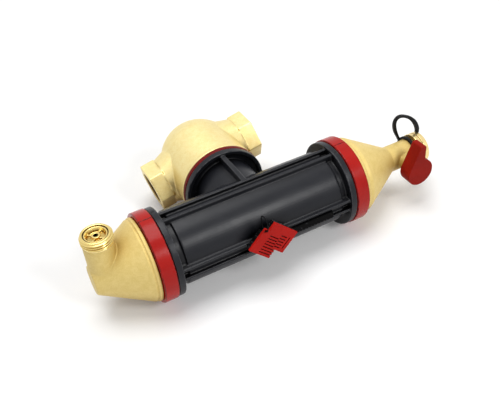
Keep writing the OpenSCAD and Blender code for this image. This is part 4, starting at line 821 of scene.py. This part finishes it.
neckBand = strapRing(strap["neckInner"], strap["neckInner"] + strap["thick"],
                     strap["bandWidth"] / 2, strap["neckX"], strap["bandSteps"])
studEye = strapRing(*strap["eye"], strap["thick"] / 2, strap["capX"], strap["eyeSteps"])
verts, faces = joinParts(strapLoop(), neckBand, studEye, strapTongue())
strapPiece = settle("strap", meshOf("strap", verts, faces), "strap_rubber", None,
                    ("cap_strap",), sharpAt=60)
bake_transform(strapPiece)
print("drain end done")

# magnet strip and tag
tagParts = {"voxel": 0.16, "rounds": 4, "keep": 0.4}
for name, node, finish in (("tag_face", "pull_tag", "tag_red"),
                           ("tag_back", "tag_block", "cartridge_black"),
                           ("magnet_strip", "magnet_carrier", "cartridge_black")):
    softPiece(name, node, tagParts, finish, "magnet_cartridge")

# carried-over CAD pieces
for node in nodes:
    dress(slotOf[node], node)
dress("pin_steel", "vent_ring_pins", "drain_ring_pins")
print("CAD pieces dressed")

# camera, fitted to the photograph
cameraFit = {"lens": 50.696, "sensor": 36.0, "place": (-168.3, -305.5, 390.9),
             "look": (0.3286, 0.5979, -0.7311), "turn": 8.5, "clip": (0.01, 20.0)}
fitTurn = Matrix.Rotation(math.radians(cameraFit["turn"] + lay["tilt"]), 3, "X")
cameraSpot = fitTurn @ Vector(cameraFit["place"]) + laidAt
look = Vector(cameraFit["look"]).normalized()
right = look.cross(Vector((0, 0, 1))).normalized()
axes = [fitTurn @ right, fitTurn @ right.cross(look), fitTurn @ -look]
cameraTurn = Matrix([[axes[c][r] for c in range(3)] for r in range(3)])
cameraData = bpy.data.cameras.new("photoCamera")
cameraData.lens = cameraFit["lens"]
cameraData.sensor_width = cameraFit["sensor"]
cameraData.sensor_fit = "HORIZONTAL"
cameraData.clip_start, cameraData.clip_end = cameraFit["clip"]
camera = bpy.data.objects.new("photoCamera", cameraData)
scene.collection.objects.link(camera)
camera.matrix_world = Matrix.Translation(cameraSpot * mm) @ cameraTurn.to_4x4()
scene.camera = camera

# floor, world and lamps
studio = {"floorColour": 0.86, "floorRough": 0.9, "floorSpec": 0.1, "floorHalf": 6,
          "floorPaintedLight": (0.12, 0.8), "paintedLightSpan": (0.28, 1.3), "fill": 0.3, "aim": (0, 0, 0.03),
          "key": {"at": (-0.08, 0.14, 1.2), "size": 1.0, "power": 11.2},
          "front": {"at": (0.33, -0.86, 0.79), "size": 0.36, "power": 5.0}}


def cameraMask(tree, x, y):  # camera, glossy and transmission rays see the white background
    path = addNode(tree, "ShaderNodeLightPath", x, y).outputs
    seen = mathOf(tree, "MAXIMUM", x + 200, y, path["Is Camera Ray"], path["Is Glossy Ray"])
    return mathOf(tree, "MAXIMUM", x + 400, y, seen, path["Is Transmission Ray"])


floorMaterial = bpy.data.materials.new("pale_floor")
floorMaterial.use_nodes = True
floorTree = floorMaterial.node_tree
floorShader = floorTree.nodes["Principled BSDF"]
floorShader.inputs["Base Color"].default_value = (studio["floorColour"],) * 3 + (1,)
floorShader.inputs["Roughness"].default_value = studio["floorRough"]
floorShader.inputs["Specular IOR Level"].default_value = studio["floorSpec"]
floorShader.inputs["Emission Color"].default_value = (1, 1, 1, 1)
floorSpot = addNode(floorTree, "ShaderNodeNewGeometry", -800, -600)
away = addNode(floorTree, "ShaderNodeVectorMath", -600, -600, operation="LENGTH")
feed(floorTree, away.inputs[0], floorSpot.outputs["Position"])
reach = mapRange(floorTree, away.outputs["Value"], studio["paintedLightSpan"], -400, -600,
                 studio["floorPaintedLight"])  # painted light: the floor's glow for camera rays rises with distance from the object, so the floor turns white further out and stays darker near it
paintedFloorLight = mathOf(floorTree, "MULTIPLY", -200, -300, cameraMask(floorTree, -800, -300), reach)
feed(floorTree, floorShader.inputs["Emission Strength"], paintedFloorLight)
half = studio["floorHalf"]
floorMesh = bpy.data.meshes.new("floor")
floorMesh.from_pydata([(-half, -half, 0), (half, -half, 0), (half, half, 0), (-half, half, 0)], [],
                      [(0, 1, 2, 3)])
floorMesh.materials.append(floorMaterial)
floor = bpy.data.objects.new("floor", floorMesh)
scene.collection.objects.link(floor)

world = bpy.data.worlds.new("studio")
scene.world = world
world.use_nodes = True
worldTree = world.node_tree
background = worldTree.nodes["Background"]
background.inputs["Color"].default_value = (1, 1, 1, 1)
fill = mapRange(worldTree, cameraMask(worldTree, -800, 0), (0.0, 1.0), -200, 0,
                (studio["fill"], 1.0), "LINEAR")
feed(worldTree, background.inputs["Strength"], fill)


def areaLamp(name, values):
    data = bpy.data.lights.new(name, "AREA")
    data.shape = "DISK"
    data.size = values["size"]
    data.energy = values["power"]
    lamp = bpy.data.objects.new(name, data)
    scene.collection.objects.link(lamp)
    lamp.location = values["at"]
    toward = Vector(studio["aim"]) - Vector(values["at"])
    lamp.rotation_euler = toward.to_track_quat("-Z", "Y").to_euler()


areaLamp("keyLamp", studio["key"])
areaLamp("frontLamp", studio["front"])
scene.view_settings.view_transform = "Standard"
print("camera, floor and lamps done")
